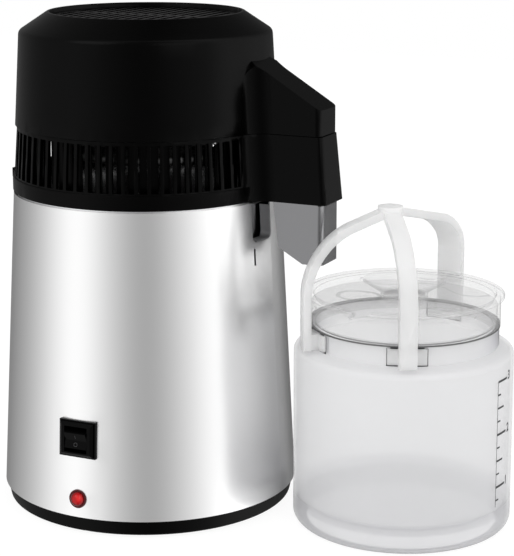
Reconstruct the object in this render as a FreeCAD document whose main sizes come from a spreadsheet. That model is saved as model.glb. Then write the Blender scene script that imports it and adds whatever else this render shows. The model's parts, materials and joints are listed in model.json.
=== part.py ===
import FreeCAD, Part
import math
import os

import Sketcher

"""A countertop water distiller with its collecting jug, in millimetres.

The origin is on the worktop, on the axis of the boiling drum. +Z is up, the front with the
switch faces -Y, and the nose that carries the water outlet points to +X. The jug stands beside
the drum, under the nose's side.
"""

Vector = FreeCAD.Vector
Rotation = FreeCAD.Rotation
ALONG_X = Rotation(Vector(0, 1, 0), 90)
ALONG_Y = Rotation(Vector(1, 0, 0), -90)

# ---------------------------------------------------------------- driving dimensions

SIZES = {
    # feet and base
    "foot_radius": 9.0,
    "foot_height": 3.0,
    "foot_inset": 24.0,
    "foot_recess_depth": 1.5,
    "foot_clearance": 0.2,
    "base_rim_inset": 1.5,
    "base_taper": 2.5,
    "base_wall": 2.5,
    "base_spigot_height": 6.0,
    "base_spigot_clearance": 0.4,
    "base_boss_radius": 4.5,
    "base_vent_start": 32.0,
    "base_vent_length": 34.0,
    "base_vent_width": 4.0,
    # steel housing
    "housing_bottom": 13.8,
    "housing_top": 249.0,
    "housing_bottom_radius": 117.5,
    "housing_top_radius": 105.5,
    "housing_wall": 1.0,
    "housing_lip": 4.0,
    "slit_width": 2.0,
    "slit_drop": 48.4,
    "slit_length": 13.0,
    "slit_angle": 13.2,
    "notch_angle": 6.4,
    "notch_width": 26.8,
    "notch_drop": 31.0,
    "notch_round": 5.5,
    # brackets that hold the base
    "bracket_inset": 14.5,
    "bracket_foot_height": 22.0,
    "bracket_width": 14.0,
    "bracket_rise": 16.0,
    "bracket_sheet": 1.2,
    "base_screw_radius": 1.6,
    "base_screw_head_radius": 3.4,
    "base_screw_head_height": 2.2,
    "base_screw_tail": 3.0,
    "screw_clearance": 0.05,
    "screw_head_clearance": 0.3,
    # boiling pot and heater
    "pot_gap": 10.5,
    "pot_bottom": 94.0,
    "pot_wall": 1.0,
    "pot_corner_radius": 8.0,
    "pot_rim_inset": 1.7,
    "pot_clearance": 0.4,
    "heater_plate_inset": 23.0,
    "heater_plate_thickness": 8.0,
    "heater_ring_inset": 20.0,
    "heater_tube_radius": 4.0,
    "heater_flat": 1.0,
    "heater_terminal_length": 14.0,
    "heater_terminal_radius": 1.5,
    "stud_radius": 3.0,
    "stud_length": 30.0,
    "stud_nut_radius": 5.8,
    "stud_nut_height": 4.0,
    "shield_margin": 6.0,
    "shield_sheet": 0.8,
    "shield_rim_height": 16.0,
    "thermostat_radius": 8.5,
    "thermostat_height": 7.0,
    "thermostat_offset": 25.0,
    "thermostat_blade_width": 6.0,
    "thermostat_blade_sheet": 0.8,
    "thermostat_blade_length": 8.0,
    # rocker switch
    "switch_height": 75.3,
    "bezel_width": 31.0,
    "bezel_height": 28.4,
    "bezel_plate_proud": 1.6,
    "bezel_step_proud": 2.8,
    "bezel_proud": 4.6,
    "bezel_seat_depth": 1.4,
    "bezel_step_inset": 1.2,
    "bezel_bevel": 1.9,
    "switch_body_width": 26.0,
    "switch_body_height": 24.6,
    "switch_body_depth": 21.0,
    "switch_hole_clearance": 0.3,
    "rocker_pivot_depth": 2.0,
    "rocker_length": 18.6,
    "rocker_radius": 9.6,
    "rocker_valley_depth": 5.6,
    "rocker_end_depth": 7.4,
    "rocker_half_angle": 7.0,
    "rocker_clearance": 0.4,
    "trunnion_radius": 1.5,
    "trunnion_length": 1.2,
    "running_clearance": 0.05,
    "switch_tab_length": 8.0,
    "switch_tab_width": 6.0,
    "switch_tab_sheet": 0.8,
    # reset button
    "reset_height": 28.2,
    "button_radius": 5.6,
    "button_dome_radius": 4.6,
    "button_proud": 4.2,
    "button_collar_radius": 6.1,
    "button_collar_thickness": 1.2,
    "button_stem_radius": 2.0,
    "button_stem_length": 12.0,
    "bush_flange_radius": 7.2,
    "bush_flange_proud": 0.8,
    "bush_flange_seat": 0.5,
    "bush_tube_radius": 6.8,
    "bush_step_depth": 3.0,
    "bush_length": 10.5,
    "spring_radius": 4.2,
    "spring_wire_radius": 0.3,
    "spring_turns": 4.0,
    "spring_end_clearance": 0.1,
    "breaker_width": 18.0,
    "breaker_height": 14.0,
    "breaker_depth": 20.0,
    # mains inlet
    "inlet_height": 50.0,
    "inlet_body_width": 27.0,
    "inlet_body_height": 20.0,
    "inlet_body_depth": 22.0,
    "inlet_plate_width": 50.0,
    "inlet_plate_height": 24.0,
    "inlet_plate_thickness": 2.5,
    "inlet_seat_depth": 3.2,
    "inlet_cavity_width": 24.0,
    "inlet_cavity_height": 16.4,
    "inlet_cavity_depth": 16.5,
    "inlet_pin_width": 4.0,
    "inlet_pin_sheet": 2.0,
    "inlet_pin_length": 13.0,
    "inlet_pin_spacing": 7.0,
    "inlet_earth_rise": 4.0,
    "inlet_screw_spacing": 40.0,
    "inlet_screw_radius": 1.5,
    "inlet_screw_head_radius": 2.8,
    "inlet_screw_head_height": 1.8,
    "inlet_screw_length": 12.0,
    # gasket and condenser pan
    "gasket_bore_margin": 1.5,
    "gasket_inset": 2.5,
    "gasket_thickness": 2.0,
    "pan_sheet": 1.0,
    "pan_flat_inset": 13.0,
    "pan_rise": 10.0,
    "pan_neck_radius": 14.0,
    "port_height": 8.0,
    "port_wall": 1.0,
    "pan_screw_count": 3,
    "pan_screw_inset": 6.0,
    # head, lower moulding
    "shell_gap": 0.3,
    "shell_height": 51.1,
    "shell_wall": 2.5,
    "lip_overhang": 0.5,
    "lip_height": 11.7,
    "lip_thickness": 4.0,
    "lip_step": 1.5,
    "louvre_taper": 2.7,
    "floor_ledge_inset": 9.0,
    "top_ledge_width": 15.8,
    "slot_count": 68,
    "slot_width": 6.8,
    "slot_margin": 1.2,
    "nose_bottom_half_width": 18.5,
    "nose_draft": 2.0,
    "nose_length": 54.5,
    "nose_end_draft": 4.5,
    "nose_flare": 14.0,
    "nose_flare_fall": 1.0,
    "nose_corner_radius": 4.0,
    "hood_length": 14.0,
    "hood_width": 20.0,
    "hood_end_height": 7.2,
    "hood_root_height": 11.5,
    "hood_wall": 2.2,
    # finger guard behind the louvres
    "guard_inset": 10.8,
    "guard_sheet": 1.4,
    "guard_slot_width": 3.0,
    "guard_margin": 3.0,
    # head, upper moulding
    "seam_gap": 0.5,
    "seam_step": 1.4,
    "cover_taper": 4.2,
    "cover_height": 87.4,
    "shoulder_drop": 14.7,
    "cover_shoulder_round": 5.0,
    "recess_inset": 24.0,
    "recess_rim_width": 2.0,
    "recess_depth": 6.3,
    "cover_wall": 2.5,
    "grille_ledge_width": 5.0,
    "upper_nose_step": 1.0,
    "nose_end_rise": 19.6,
    "nose_root_rise": 54.1,
    "boss_inset": 7.3,
    "boss_radius": 3.8,
    "boss_height": 34.0,
    "head_screw_count": 3,
    "head_screw_radius": 1.4,
    "head_screw_head_radius": 2.6,
    "head_screw_head_height": 1.8,
    "head_screw_length": 14.0,
    # top grille
    "grille_thickness": 3.0,
    "grille_clearance": 0.3,
    "grille_border": 8.0,
    "grille_slot_pitch": 8.2,
    "grille_slot_width": 4.4,
    "grille_slot_count": 16,
    "grille_spine_width": 5.0,
    # condenser coil and outlet
    "coil_drop": 16.4,
    "coil_tube_radius": 4.0,
    "coil_tube_wall": 0.8,
    "coil_first_radius": 14.0,
    "coil_margin": 14.0,
    "coil_pitch": 13.0,
    "coil_bend_radius": 12.0,
    "coil_exit_bend_radius": 14.0,
    "coil_end_in_nozzle": 7.0,
    "nozzle_inset": 21.5,
    "nozzle_radius": 6.0,
    "nozzle_collar_radius": 6.3,
    "nozzle_relief_radius": 5.6,
    "nozzle_relief_height": 0.3,
    "nozzle_tip_radius": 4.6,
    "nozzle_bore_radius": 2.6,
    "nozzle_flange_radius": 9.0,
    "nozzle_flange_thickness": 2.5,
    "nozzle_drop": 28.3,
    "nozzle_tip_length": 6.0,
    # fan
    "bracket_seat_width": 5.2,
    "bracket_ring_width": 9.2,
    "bracket_plate": 2.0,
    "bracket_arm_width": 12.0,
    "bracket_hub_radius": 27.0,
    "motor_radius": 24.0,
    "motor_height": 26.0,
    "shaft_radius": 2.5,
    "shaft_in_motor": 16.0,
    "fan_clearance": 1.5,
    "fan_hub_radius": 14.0,
    "fan_hub_height": 14.0,
    "fan_margin": 3.0,
    "fan_blade_count": 5,
    "fan_blade_chord": 30.0,
    "fan_blade_sheet": 1.8,
    "fan_blade_pitch": 26.0,
    # outlet shroud
    "shroud_inset": 2.5,
    "shroud_end_inset": 3.5,
    "shroud_drop": 46.8,
    "shroud_length": 40.4,
    "shroud_edge_lean": 4.3,
    "shroud_edge_drop": 35.3,
    "shroud_slope_run": 20.0,
    "shroud_sheet": 1.2,
    "shroud_corner_radius": 4.0,
    "shroud_screw_inset": 14.0,
    # jug
    "jug_gap": 8.73,
    "jug_bearing": 6.19,
    "jug_turn": -10.75,
    "jug_radius": 84.3,
    "jug_wall": 2.3,
    "jug_heel_radius": 8.5,
    "jug_foot_width": 10.8,
    "jug_floor": 14.4,
    "jug_floor_thickness": 2.4,
    "jug_floor_round": 9.0,
    "jug_shoulder_height": 138.5,
    "jug_shoulder_round": 5.0,
    "collar_rise": 4.0,
    "shoulder_width": 11.6,
    "collar_height": 14.5,
    "window_width": 29.6,
    "window_margin": 1.0,
    # jug lid
    "lid_overhang": 0.7,
    "lid_wall": 2.4,
    "lid_rim_width": 2.9,
    "lid_height": 24.6,
    "lid_rim_thickness": 2.8,
    "lid_dish_drop": 6.1,
    "lid_dish_inset": 5.9,
    "lid_hole_radius": 6.0,
    "lid_plug_depth": 7.0,
    "lid_plug_clearance": 0.4,
    "lid_spout_radius": 24.0,
    "cup_neck_radius": 18.0,
    "cup_neck_height": 5.5,
    "cup_rim_radius": 33.0,
    "cup_height": 15.0,
    "cup_wall": 2.0,
    "cup_hole_radius": 5.0,
    # jug handle
    "leg_angle": 33.25,
    "grip_angle": 94.0,
    "leg_gap": 2.0,
    "leg_thickness": 6.0,
    "leg_width": 13.0,
    "grip_width": 20.5,
    "leg_bottom_clearance": 0.6,
    "leg_corner_rise": 21.4,
    "grip_corner_rise": 30.4,
    "leg_bend_share": 0.334,
    "leg_bend_rise": 30.0,
    "grip_bend_share": 0.2126,
    "grip_bend_rise": 19.0,
    "leg_lower_round": 60.0,
    "leg_upper_round": 57.0,
    "grip_lower_round": 25.0,
    "grip_upper_round": 60.0,
    "handle_rise": 69.4,
    "hub_offset": 22.0,
    "hub_radius": 9.5,
    "clip_thickness": 3.0,
    "clip_clearance": 0.3,
    "clip_neck_width": 13.0,
}


class Size(float):
    """A number that remembers its sum over the sheet's cells, so that the geometry and
    setExpression are given the same one."""

    def __new__(cls, value, text):
        made = super().__new__(cls, value)
        made.text = text
        return made

    def __add__(self, other):
        return Size(float(self) + float(other), f"({self.text} + {text_of(other)})")

    def __radd__(self, other):
        return Size(float(other) + float(self), f"({text_of(other)} + {self.text})")

    def __sub__(self, other):
        return Size(float(self) - float(other), f"({self.text} - {text_of(other)})")

    def __rsub__(self, other):
        return Size(float(other) - float(self), f"({text_of(other)} - {self.text})")

    def __mul__(self, other):
        return Size(float(self) * float(other), f"({self.text} * {text_of(other)})")

    def __rmul__(self, other):
        return Size(float(other) * float(self), f"({text_of(other)} * {self.text})")

    def __truediv__(self, other):
        return Size(float(self) / float(other), f"({self.text} / {text_of(other)})")

    def __neg__(self):
        return Size(-float(self), f"(0 - {self.text})")


def text_of(value):
    """The expression of a Size, or a plain number written out."""
    return value.text if isinstance(value, Size) else f"({float(value):.9g})"


def root(value):
    """Square root of a Size."""
    return Size(math.sqrt(value), f"sqrt({value.text})")


def square(value):
    return value * value


class Sheet:
    """The driving dimensions: a spreadsheet with one alias each, read here as attributes."""

    def __init__(self, document, values):
        self.cells = document.addObject("Spreadsheet::Sheet", "sizes")
        for row, (alias, value) in enumerate(values.items(), start=1):
            self.cells.set(f"A{row}", alias.replace("_", " "))
            self.cells.set(f"B{row}", str(value))
            self.cells.setAlias(f"B{row}", alias)
            setattr(self, alias, Size(value, f"sizes.{alias}"))


doc = FreeCAD.newDocument("water_distiller")
s = Sheet(doc, SIZES)
doc.recompute()

# ---------------------------------------------------------------- building tools


def bind(thing, name, value):
    """Ties a property to the sheet, where its value comes from there."""
    if isinstance(value, Size):
        thing.setExpression(name, value.text)


def place(thing, at, turn=None):
    """Puts a document object at a point, which stays bound to the sheet."""
    thing.Placement = FreeCAD.Placement(Vector(*map(float, at)), turn or Rotation())
    for axis, value in zip("xyz", at):
        bind(thing, f"Placement.Base.{axis}", value)
    return thing


def solid(kind, name, at=(0, 0, 0), turn=None, **sizes):
    """A Part primitive, such as a Box, Cylinder, Cone or Torus."""
    made = place(doc.addObject(f"Part::{kind}", name), at, turn)
    for key, value in sizes.items():
        setattr(made, key, float(value))
        bind(made, key, value)
    return made


def box(name, low, high):
    """A box between two corners."""
    length, width, height = (b - a for a, b in zip(low, high))
    return solid("Box", name, low, Length=length, Width=width, Height=height)


def cylinder(name, radius, height, at=(0, 0, 0), turn=None):
    return solid("Cylinder", name, at, turn, Radius=radius, Height=height)


def group(name, parts):
    """Several separate solids under one name."""
    made = doc.addObject("Part::Compound", name)
    made.Links = parts
    return made


def fuse(name, parts):
    made = doc.addObject("Part::MultiFuse", name)
    made.Shapes = parts
    return made


def cut(name, base, tools):
    """The base less its tools, which may overlap one another."""
    made = doc.addObject("Part::Cut", name)
    made.Base = base
    made.Tool = tools[0] if len(tools) == 1 else fuse(f"{name}_tools", tools)
    return made


def common(name, first, second):
    made = doc.addObject("Part::Common", name)
    made.Base, made.Tool = first, second
    return made


def polar(radius, degrees, height=0):
    """The point at that radius and angle about Z."""
    angle = math.radians(degrees)
    return (radius * math.cos(angle), radius * math.sin(angle), height)


def spread(count, first=0.0):
    """Angles of equally spaced copies about Z."""
    return [first + 360.0 * i / int(count) for i in range(int(count))]


def draw_circle(sketch, u, v, radius):
    """A circle whose centre and radius are bound to the sheet."""
    index = sketch.addGeometry(
        Part.Circle(Vector(float(u), float(v), 0), Vector(0, 0, 1), float(radius)), False
    )
    hold_point(sketch, index, 3, u, v)
    hold(sketch, Sketcher.Constraint("Radius", index, float(radius)), radius)


def hold(sketch, constraint, value):
    number = sketch.addConstraint(constraint)
    bind(sketch, f"Constraints[{number}]", value)


def hold_point(sketch, index, end, u, v):
    """Dimensions a point from the sketch's origin."""
    for kind, value in (("DistanceX", u), ("DistanceY", v)):
        hold(sketch, Sketcher.Constraint(kind, -1, 1, index, end, float(value)), value)


def rounding(before, corner, after, radius):
    """Where a corner's round starts and ends, and its centre."""
    back, ahead = (before - corner).normalize(), (after - corner).normalize()
    half = back.getAngle(ahead) / 2
    reach = float(radius) / math.tan(half)
    middle = (back + ahead).normalize() * (float(radius) / math.sin(half))
    return corner + back * reach, corner + ahead * reach, corner + middle


def draw(sketch, corners):
    """A closed outline. Each corner is (u, v), or (u, v, radius) where it is rounded."""
    count = len(corners)
    points = [Vector(float(c[0]), float(c[1]), 0) for c in corners]
    rounds = {
        i: rounding(points[i - 1], points[i], points[(i + 1) % count], corners[i][2])
        for i in range(count)
        if len(corners[i]) > 2
    }
    sides = []
    for i in range(count):
        ahead = (i + 1) % count
        start = rounds[i][1] if i in rounds else points[i]
        end = rounds[ahead][0] if ahead in rounds else points[ahead]
        sides.append(sketch.addGeometry(Part.LineSegment(start, end), False))
    for i, corner in enumerate(corners):
        arriving, leaving = sides[i - 1], sides[i]
        if i in rounds:
            round_corner(sketch, arriving, leaving, points[i], rounds[i], corner)
        else:
            sketch.addConstraint(Sketcher.Constraint("Coincident", arriving, 2, leaving, 1))
            hold_point(sketch, leaving, 1, *corner[:2])


def round_corner(sketch, arriving, leaving, point, ends, corner):
    """An arc tangent to two sides, with the sharp corner kept as a construction point."""
    first, last, centre = ends
    turn = (point - first).cross(last - point).z
    start, end = (first, last) if turn > 0 else (last, first)
    angles = [math.atan2(p.y - centre.y, p.x - centre.x) for p in (start, end)]
    circle = Part.Circle(centre, Vector(0, 0, 1), float(corner[2]))
    arc = sketch.addGeometry(Part.ArcOfCircle(circle, *angles), False)
    sharp = sketch.addGeometry(Part.Point(point), True)
    hold_point(sketch, sharp, 1, *corner[:2])
    on_side = [Sketcher.Constraint("PointOnObject", sharp, 1, side) for side in (arriving, leaving)]
    sketch.addConstraint(on_side)
    near, far = (1, 2) if turn > 0 else (2, 1)
    sketch.addConstraint(Sketcher.Constraint("Tangent", arriving, 2, arc, near))
    sketch.addConstraint(Sketcher.Constraint("Tangent", leaving, 1, arc, far))
    hold(sketch, Sketcher.Constraint("Radius", arc, float(corner[2])), corner[2])


class Piece:
    """A PartDesign body, built up feature by feature."""

    def __init__(self, name):
        self.name = name
        self.made = 0
        self.body = doc.addObject("PartDesign::Body", name)

    def plane(self, role):
        return next(f for f in self.body.Origin.OriginFeatures if f.Role == role)

    def sketch(self, role, outlines, lift=0):
        """A sketch on one of the body's own origin planes, raised by lift."""
        self.made += 1
        made = self.body.newObject("Sketcher::SketchObject", f"{self.name}_sketch_{self.made}")
        made.AttachmentSupport = (self.plane(role), [""])
        made.MapMode = "FlatFace"
        made.AttachmentOffset = FreeCAD.Placement(Vector(0, 0, float(lift)), Rotation())
        bind(made, "AttachmentOffset.Base.z", lift)
        for outline in outlines:
            if isinstance(outline, Ring):
                draw_circle(made, outline.u, outline.v, outline.radius)
            else:
                draw(made, outline)
        return made

    def feature(self, kind, **values):
        made = self.body.newObject(f"PartDesign::{kind}", f"{self.name}_{kind.lower()}_{self.made}")
        for key, value in values.items():
            setattr(made, key, float(value) if isinstance(value, Size) else value)
            bind(made, key, value)
        return made

    def turned(self, corners, remove=False):
        """An outline of (radius, height) corners, turned about Z."""
        sketch = self.sketch("XZ_Plane", [corners])
        kind = "Groove" if remove else "Revolution"
        return self.feature(kind, Profile=sketch, ReferenceAxis=(sketch, ["V_Axis"]), Angle=360.0)

    def raised(self, outlines, bottom, height):
        """Material over (x, y) outlines, from bottom upwards."""
        sketch = self.sketch("XY_Plane", outlines, bottom)
        return self.feature("Pad", Profile=sketch, Length=height)

    def sunk(self, outlines, bottom, height):
        """A pocket over (x, y) outlines, from bottom upwards."""
        sketch = self.sketch("XY_Plane", outlines, bottom)
        return self.feature("Pocket", Profile=sketch, Length=height, Reversed=True)

    def across(self, corners, width, remove=False):
        """An outline of (x, z) corners, as wide as width, half on each side of the XZ plane."""
        sketch = self.sketch("XZ_Plane", [corners])
        kind = "Pocket" if remove else "Pad"
        return self.feature(kind, Profile=sketch, Length=width, SideType="Symmetric")

    def lofted(self, lower, bottom, upper, top):
        """Straight walls between one outline at bottom and another at top."""
        first = self.sketch("XY_Plane", [lower], bottom)
        last = self.sketch("XY_Plane", [upper], top)
        return self.feature("AdditiveLoft", Profile=first, Sections=[last], Ruled=True)

    def around(self, feature, count):
        """Repeats a feature round Z."""
        pattern = self.feature("PolarPattern", Originals=[feature], Occurrences=int(count))
        pattern.Axis = (self.plane("Z_Axis"), [""])
        pattern.Angle = 360.0
        self.body.Tip = pattern
        return pattern


class Ring:
    """A circle in a sketch."""

    def __init__(self, u, v, radius):
        self.u, self.v, self.radius = u, v, radius


def rectangle(low_u, low_v, high_u, high_v):
    return [(low_u, low_v), (high_u, low_v), (high_u, high_v), (low_u, high_v)]


def screws(name, places, height, shank_radius, length, head_radius, head_height, up=True):
    """A group of screws. The head's underside is at height, and the shank points up or down."""
    parts = []
    for number, (x, y) in enumerate(places, start=1):
        shank_at = height if up else height - length
        head_at = height - head_height if up else height
        shank = cylinder(f"{name}_shank_{number}", shank_radius, length, (x, y, shank_at))
        head = cylinder(f"{name}_head_{number}", head_radius, head_height, (x, y, head_at))
        parts.append(fuse(f"{name}_{number}", [shank, head]))
    return group(name, parts)


# ---------------------------------------------------------------- sizes that follow from others

# The base follows the housing's lower edge.
s.base_rim_radius = s.housing_bottom_radius - s.base_rim_inset
s.base_radius = s.base_rim_radius - s.base_taper
s.foot_pitch_radius = s.base_rim_radius - s.foot_inset
s.bracket_pitch_radius = s.housing_bottom_radius - s.bracket_inset
base_bottom = s.foot_height - s.foot_recess_depth
base_floor_top = base_bottom + s.base_wall
bracket_angles = spread(3, -30)

# The pot, the pan and the heater follow its upper edge.
s.pot_radius = s.housing_top_radius - s.pot_gap
s.pot_rim_radius = s.housing_top_radius - s.pot_rim_inset
s.gasket_inner_radius = s.pot_radius + s.gasket_bore_margin
s.gasket_outer_radius = s.pot_rim_radius - s.gasket_inset
s.pan_flat_radius = s.pot_radius - s.pan_flat_inset
s.heater_plate_radius = s.pot_radius - s.heater_plate_inset
s.heater_ring_radius = s.heater_plate_radius - s.heater_ring_inset
s.shield_radius = s.heater_plate_radius + s.shield_margin
s.slit_bottom = s.housing_top - s.slit_drop
s.notch_bottom = s.housing_top - s.notch_drop
pot_rim_top = s.housing_top + s.pot_wall
gasket_top = pot_rim_top + s.gasket_thickness
pan_top = gasket_top + s.pan_sheet
port_bottom = gasket_top + s.pan_rise
heater_plate_bottom = s.pot_bottom - s.heater_plate_thickness

# The head stands on the pot's rim.
s.shell_bottom = pot_rim_top + s.shell_gap
s.seam_height = s.shell_bottom + s.shell_height
s.lip_radius = s.housing_top_radius + s.lip_overhang
s.lip_top = s.shell_bottom + s.lip_height
s.louvre_bottom_radius = s.lip_radius - s.lip_step
s.louvre_top_radius = s.louvre_bottom_radius - s.louvre_taper
s.floor_ledge_inner_radius = s.pot_radius - s.floor_ledge_inset
s.top_ledge_inner_radius = s.louvre_top_radius - s.top_ledge_width
s.guard_radius = s.louvre_top_radius - s.guard_inset
s.pan_screw_pitch_radius = s.floor_ledge_inner_radius + s.pan_screw_inset
s.hood_reach = s.lip_radius + s.hood_length
s.cover_bottom_radius = s.louvre_top_radius + s.seam_step
s.cover_shoulder_radius = s.cover_bottom_radius - s.cover_taper
s.boss_pitch_radius = s.cover_bottom_radius - s.boss_inset
s.recess_radius = s.cover_shoulder_radius - s.recess_inset
s.cover_land_radius = s.recess_radius + s.recess_rim_width
s.grille_slot_radius = s.recess_radius - s.grille_border
cover_bottom = s.seam_height + s.seam_gap
s.cover_top = cover_bottom + s.cover_height
s.cover_shoulder_height = s.cover_top - s.shoulder_drop
recess_floor = s.cover_top - s.recess_depth
floor_ledge_top = pan_top + s.shell_wall
top_ledge_bottom = s.seam_height - s.shell_wall
nose_floor_top = s.shell_bottom + s.shell_wall

# The nose reaches out from the lip, and the shroud and the nozzle hang from it.
s.nose_seam_half_width = s.nose_bottom_half_width - s.nose_draft
s.nose_bottom_end = s.lip_radius + s.nose_length
s.nose_seam_end = s.nose_bottom_end - s.nose_end_draft
s.upper_nose_end = s.nose_seam_end - s.upper_nose_step
s.nose_end_height = cover_bottom + s.nose_end_rise
s.nose_root_height = cover_bottom + s.nose_root_rise
s.shroud_half_width = s.nose_bottom_half_width - s.shroud_inset
s.shroud_end = s.nose_bottom_end - s.shroud_end_inset
s.shroud_bottom = s.shell_bottom - s.shroud_drop
shroud_plate_bottom = s.shell_bottom - s.shroud_sheet
s.nozzle_x = s.nose_bottom_end - s.nozzle_inset
s.nozzle_bottom = s.shell_bottom - s.nozzle_drop

# The coil fills the head over the pot, and the fan turns over it.
s.coil_height = s.seam_height - s.coil_drop
coil_room = s.pot_radius - s.coil_margin - s.coil_first_radius * 2
coil_turns = math.floor(coil_room / s.coil_pitch)
s.bracket_ring_outer_radius = s.top_ledge_inner_radius + s.bracket_seat_width
s.bracket_ring_inner_radius = s.bracket_ring_outer_radius - s.bracket_ring_width
s.bracket_screw_pitch_radius = s.top_ledge_inner_radius + s.bracket_seat_width / 2
s.fan_radius = s.recess_radius + s.fan_margin

# The jug stands beside the drum.
s.jug_x, s.jug_y, _ = polar(s.housing_bottom_radius + s.jug_radius + s.jug_gap, float(s.jug_bearing))
s.jug_foot_inner_radius = s.jug_radius - s.jug_foot_width
s.collar_bottom = s.jug_shoulder_height + s.collar_rise
s.collar_radius = s.jug_radius - s.shoulder_width
jug_floor_top = s.jug_floor + s.jug_floor_thickness
collar_top = s.collar_bottom + s.collar_height

# The lid sits on the collar, and the handle's straps pass outside it.
s.lid_skirt_radius = s.collar_radius + s.lid_overhang
s.lid_rim_radius = s.lid_skirt_radius + s.lid_rim_width
s.lid_dish_radius = s.lid_skirt_radius - s.lid_dish_inset
s.leg_inner_radius = s.lid_rim_radius + s.leg_gap
lid_top = collar_top + s.lid_height
lid_dish = lid_top - s.lid_dish_drop
s.leg_corner_height = lid_top + s.leg_corner_rise
s.grip_corner_height = lid_top + s.grip_corner_rise
s.handle_top = lid_top + s.handle_rise

# ---------------------------------------------------------------- places on the housing and the nose


def housing_radius(height):
    """Outer radius of the tapered housing at a height."""
    share = (height - s.housing_bottom) / (s.housing_top - s.housing_bottom)
    return s.housing_bottom_radius + (s.housing_top_radius - s.housing_bottom_radius) * share


def housing_lean():
    """Angle of the housing's wall from upright, in degrees."""
    taper = s.housing_bottom_radius - s.housing_top_radius
    return math.degrees(math.atan(taper / (s.housing_top - s.housing_bottom)))


def on_front(thing, height, turn=None):
    """Puts a thing made about its own origin on the housing's front, square to its wall.
    There, local -Y points out of the wall and local Z runs up it."""
    lean = Rotation(Vector(1, 0, 0), -housing_lean())
    return place(thing, (0, -housing_radius(height), height), lean.multiply(turn or Rotation()))


def on_back(thing, height):
    """The same opposite the nose: local -Y points out of the wall, to -X."""
    turn = Rotation(Vector(0, 0, 1), -90)
    lean = Rotation(Vector(1, 0, 0), -housing_lean())
    return place(thing, (-housing_radius(height), 0, height), turn.multiply(lean))


def wall_tool(name, height, reach):
    """The housing's round wall as a cylinder in the local frame of on_front or on_back."""
    radius = housing_radius(height) + s.running_clearance
    return cylinder(name, radius, reach * 2, (0, housing_radius(height), -reach))


def nose_plan(wall_radius, half_width, end, flare, corner_radius):
    """The nose from above: two sides that flare into a round wall, and a square end."""
    root_y = half_width + flare
    root_x = root(square(wall_radius) - square(root_y))
    slope = root_y / root_x
    bend_x = root_x + slope * flare
    # The side's round fills the bend between the wall's tangent and the straight side.
    tangent = flare * wall_radius / root_x
    turn = root((wall_radius - root_y) / (wall_radius + root_y))
    bend_radius = tangent * 0.97 / turn
    inside = root_x - s.shell_wall
    return [
        (inside, -root_y),
        (root_x, -root_y),
        (bend_x, -half_width, bend_radius),
        (end, -half_width, corner_radius),
        (end, half_width, corner_radius),
        (bend_x, half_width, bend_radius),
        (root_x, root_y),
        (inside, root_y),
    ]


# ---------------------------------------------------------------- base and housing


def make_rubber_feet():
    places = [polar(s.foot_pitch_radius, angle) for angle in spread(4, 45)]
    return group(
        "rubber_feet",
        [
            cylinder(f"foot_{i}", s.foot_radius, s.foot_height, at)
            for i, at in enumerate(places, start=1)
        ],
    )


def make_base_cover():
    spigot_radius = s.housing_bottom_radius - s.housing_lip - s.base_spigot_clearance
    spigot_top = s.housing_bottom + s.base_spigot_height
    inner_radius = spigot_radius - s.base_wall
    piece = Piece("base_cover")
    piece.turned(
        [
            (0, base_bottom),
            (s.base_radius, base_bottom, s.base_wall * 0.8),
            (s.base_rim_radius, s.housing_bottom),
            (spigot_radius, s.housing_bottom),
            (spigot_radius, spigot_top),
            (inner_radius, spigot_top),
            (inner_radius, base_floor_top),
            (0, base_floor_top),
        ]
    )
    bosses = [polar(s.bracket_pitch_radius, a) for a in bracket_angles]
    boss_height = s.bracket_foot_height - base_floor_top
    piece.raised([Ring(x, y, s.base_boss_radius) for x, y, _ in bosses], base_floor_top, boss_height)
    feet = [polar(s.foot_pitch_radius, angle) for angle in spread(4, 45)]
    recess = s.foot_radius + s.foot_clearance
    piece.sunk([Ring(x, y, recess) for x, y, _ in feet], base_bottom, s.foot_recess_depth)
    head_space = s.base_screw_head_radius + s.screw_head_clearance
    head_depth = s.base_screw_head_height + s.screw_head_clearance
    piece.sunk([Ring(x, y, head_space) for x, y, _ in bosses], base_bottom, head_depth)
    hole = s.base_screw_radius + s.screw_clearance
    through = s.bracket_foot_height - base_bottom
    piece.sunk([Ring(x, y, hole) for x, y, _ in bosses], base_bottom, through)
    half = s.base_vent_width / 2
    vent_end = s.base_vent_start + s.base_vent_length
    vent = piece.sunk([rectangle(s.base_vent_start, -half, vent_end, half)], base_bottom, s.base_wall)
    piece.around(vent, 12)
    return piece.body


def make_base_screws():
    seat = base_bottom + s.base_screw_head_height + s.screw_head_clearance
    reach = s.bracket_foot_height + s.base_screw_tail
    places = [polar(s.bracket_pitch_radius, a)[:2] for a in bracket_angles]
    return screws(
        "base_screws",
        places,
        seat,
        s.base_screw_radius,
        reach - seat,
        s.base_screw_head_radius,
        s.base_screw_head_height,
    )


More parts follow.
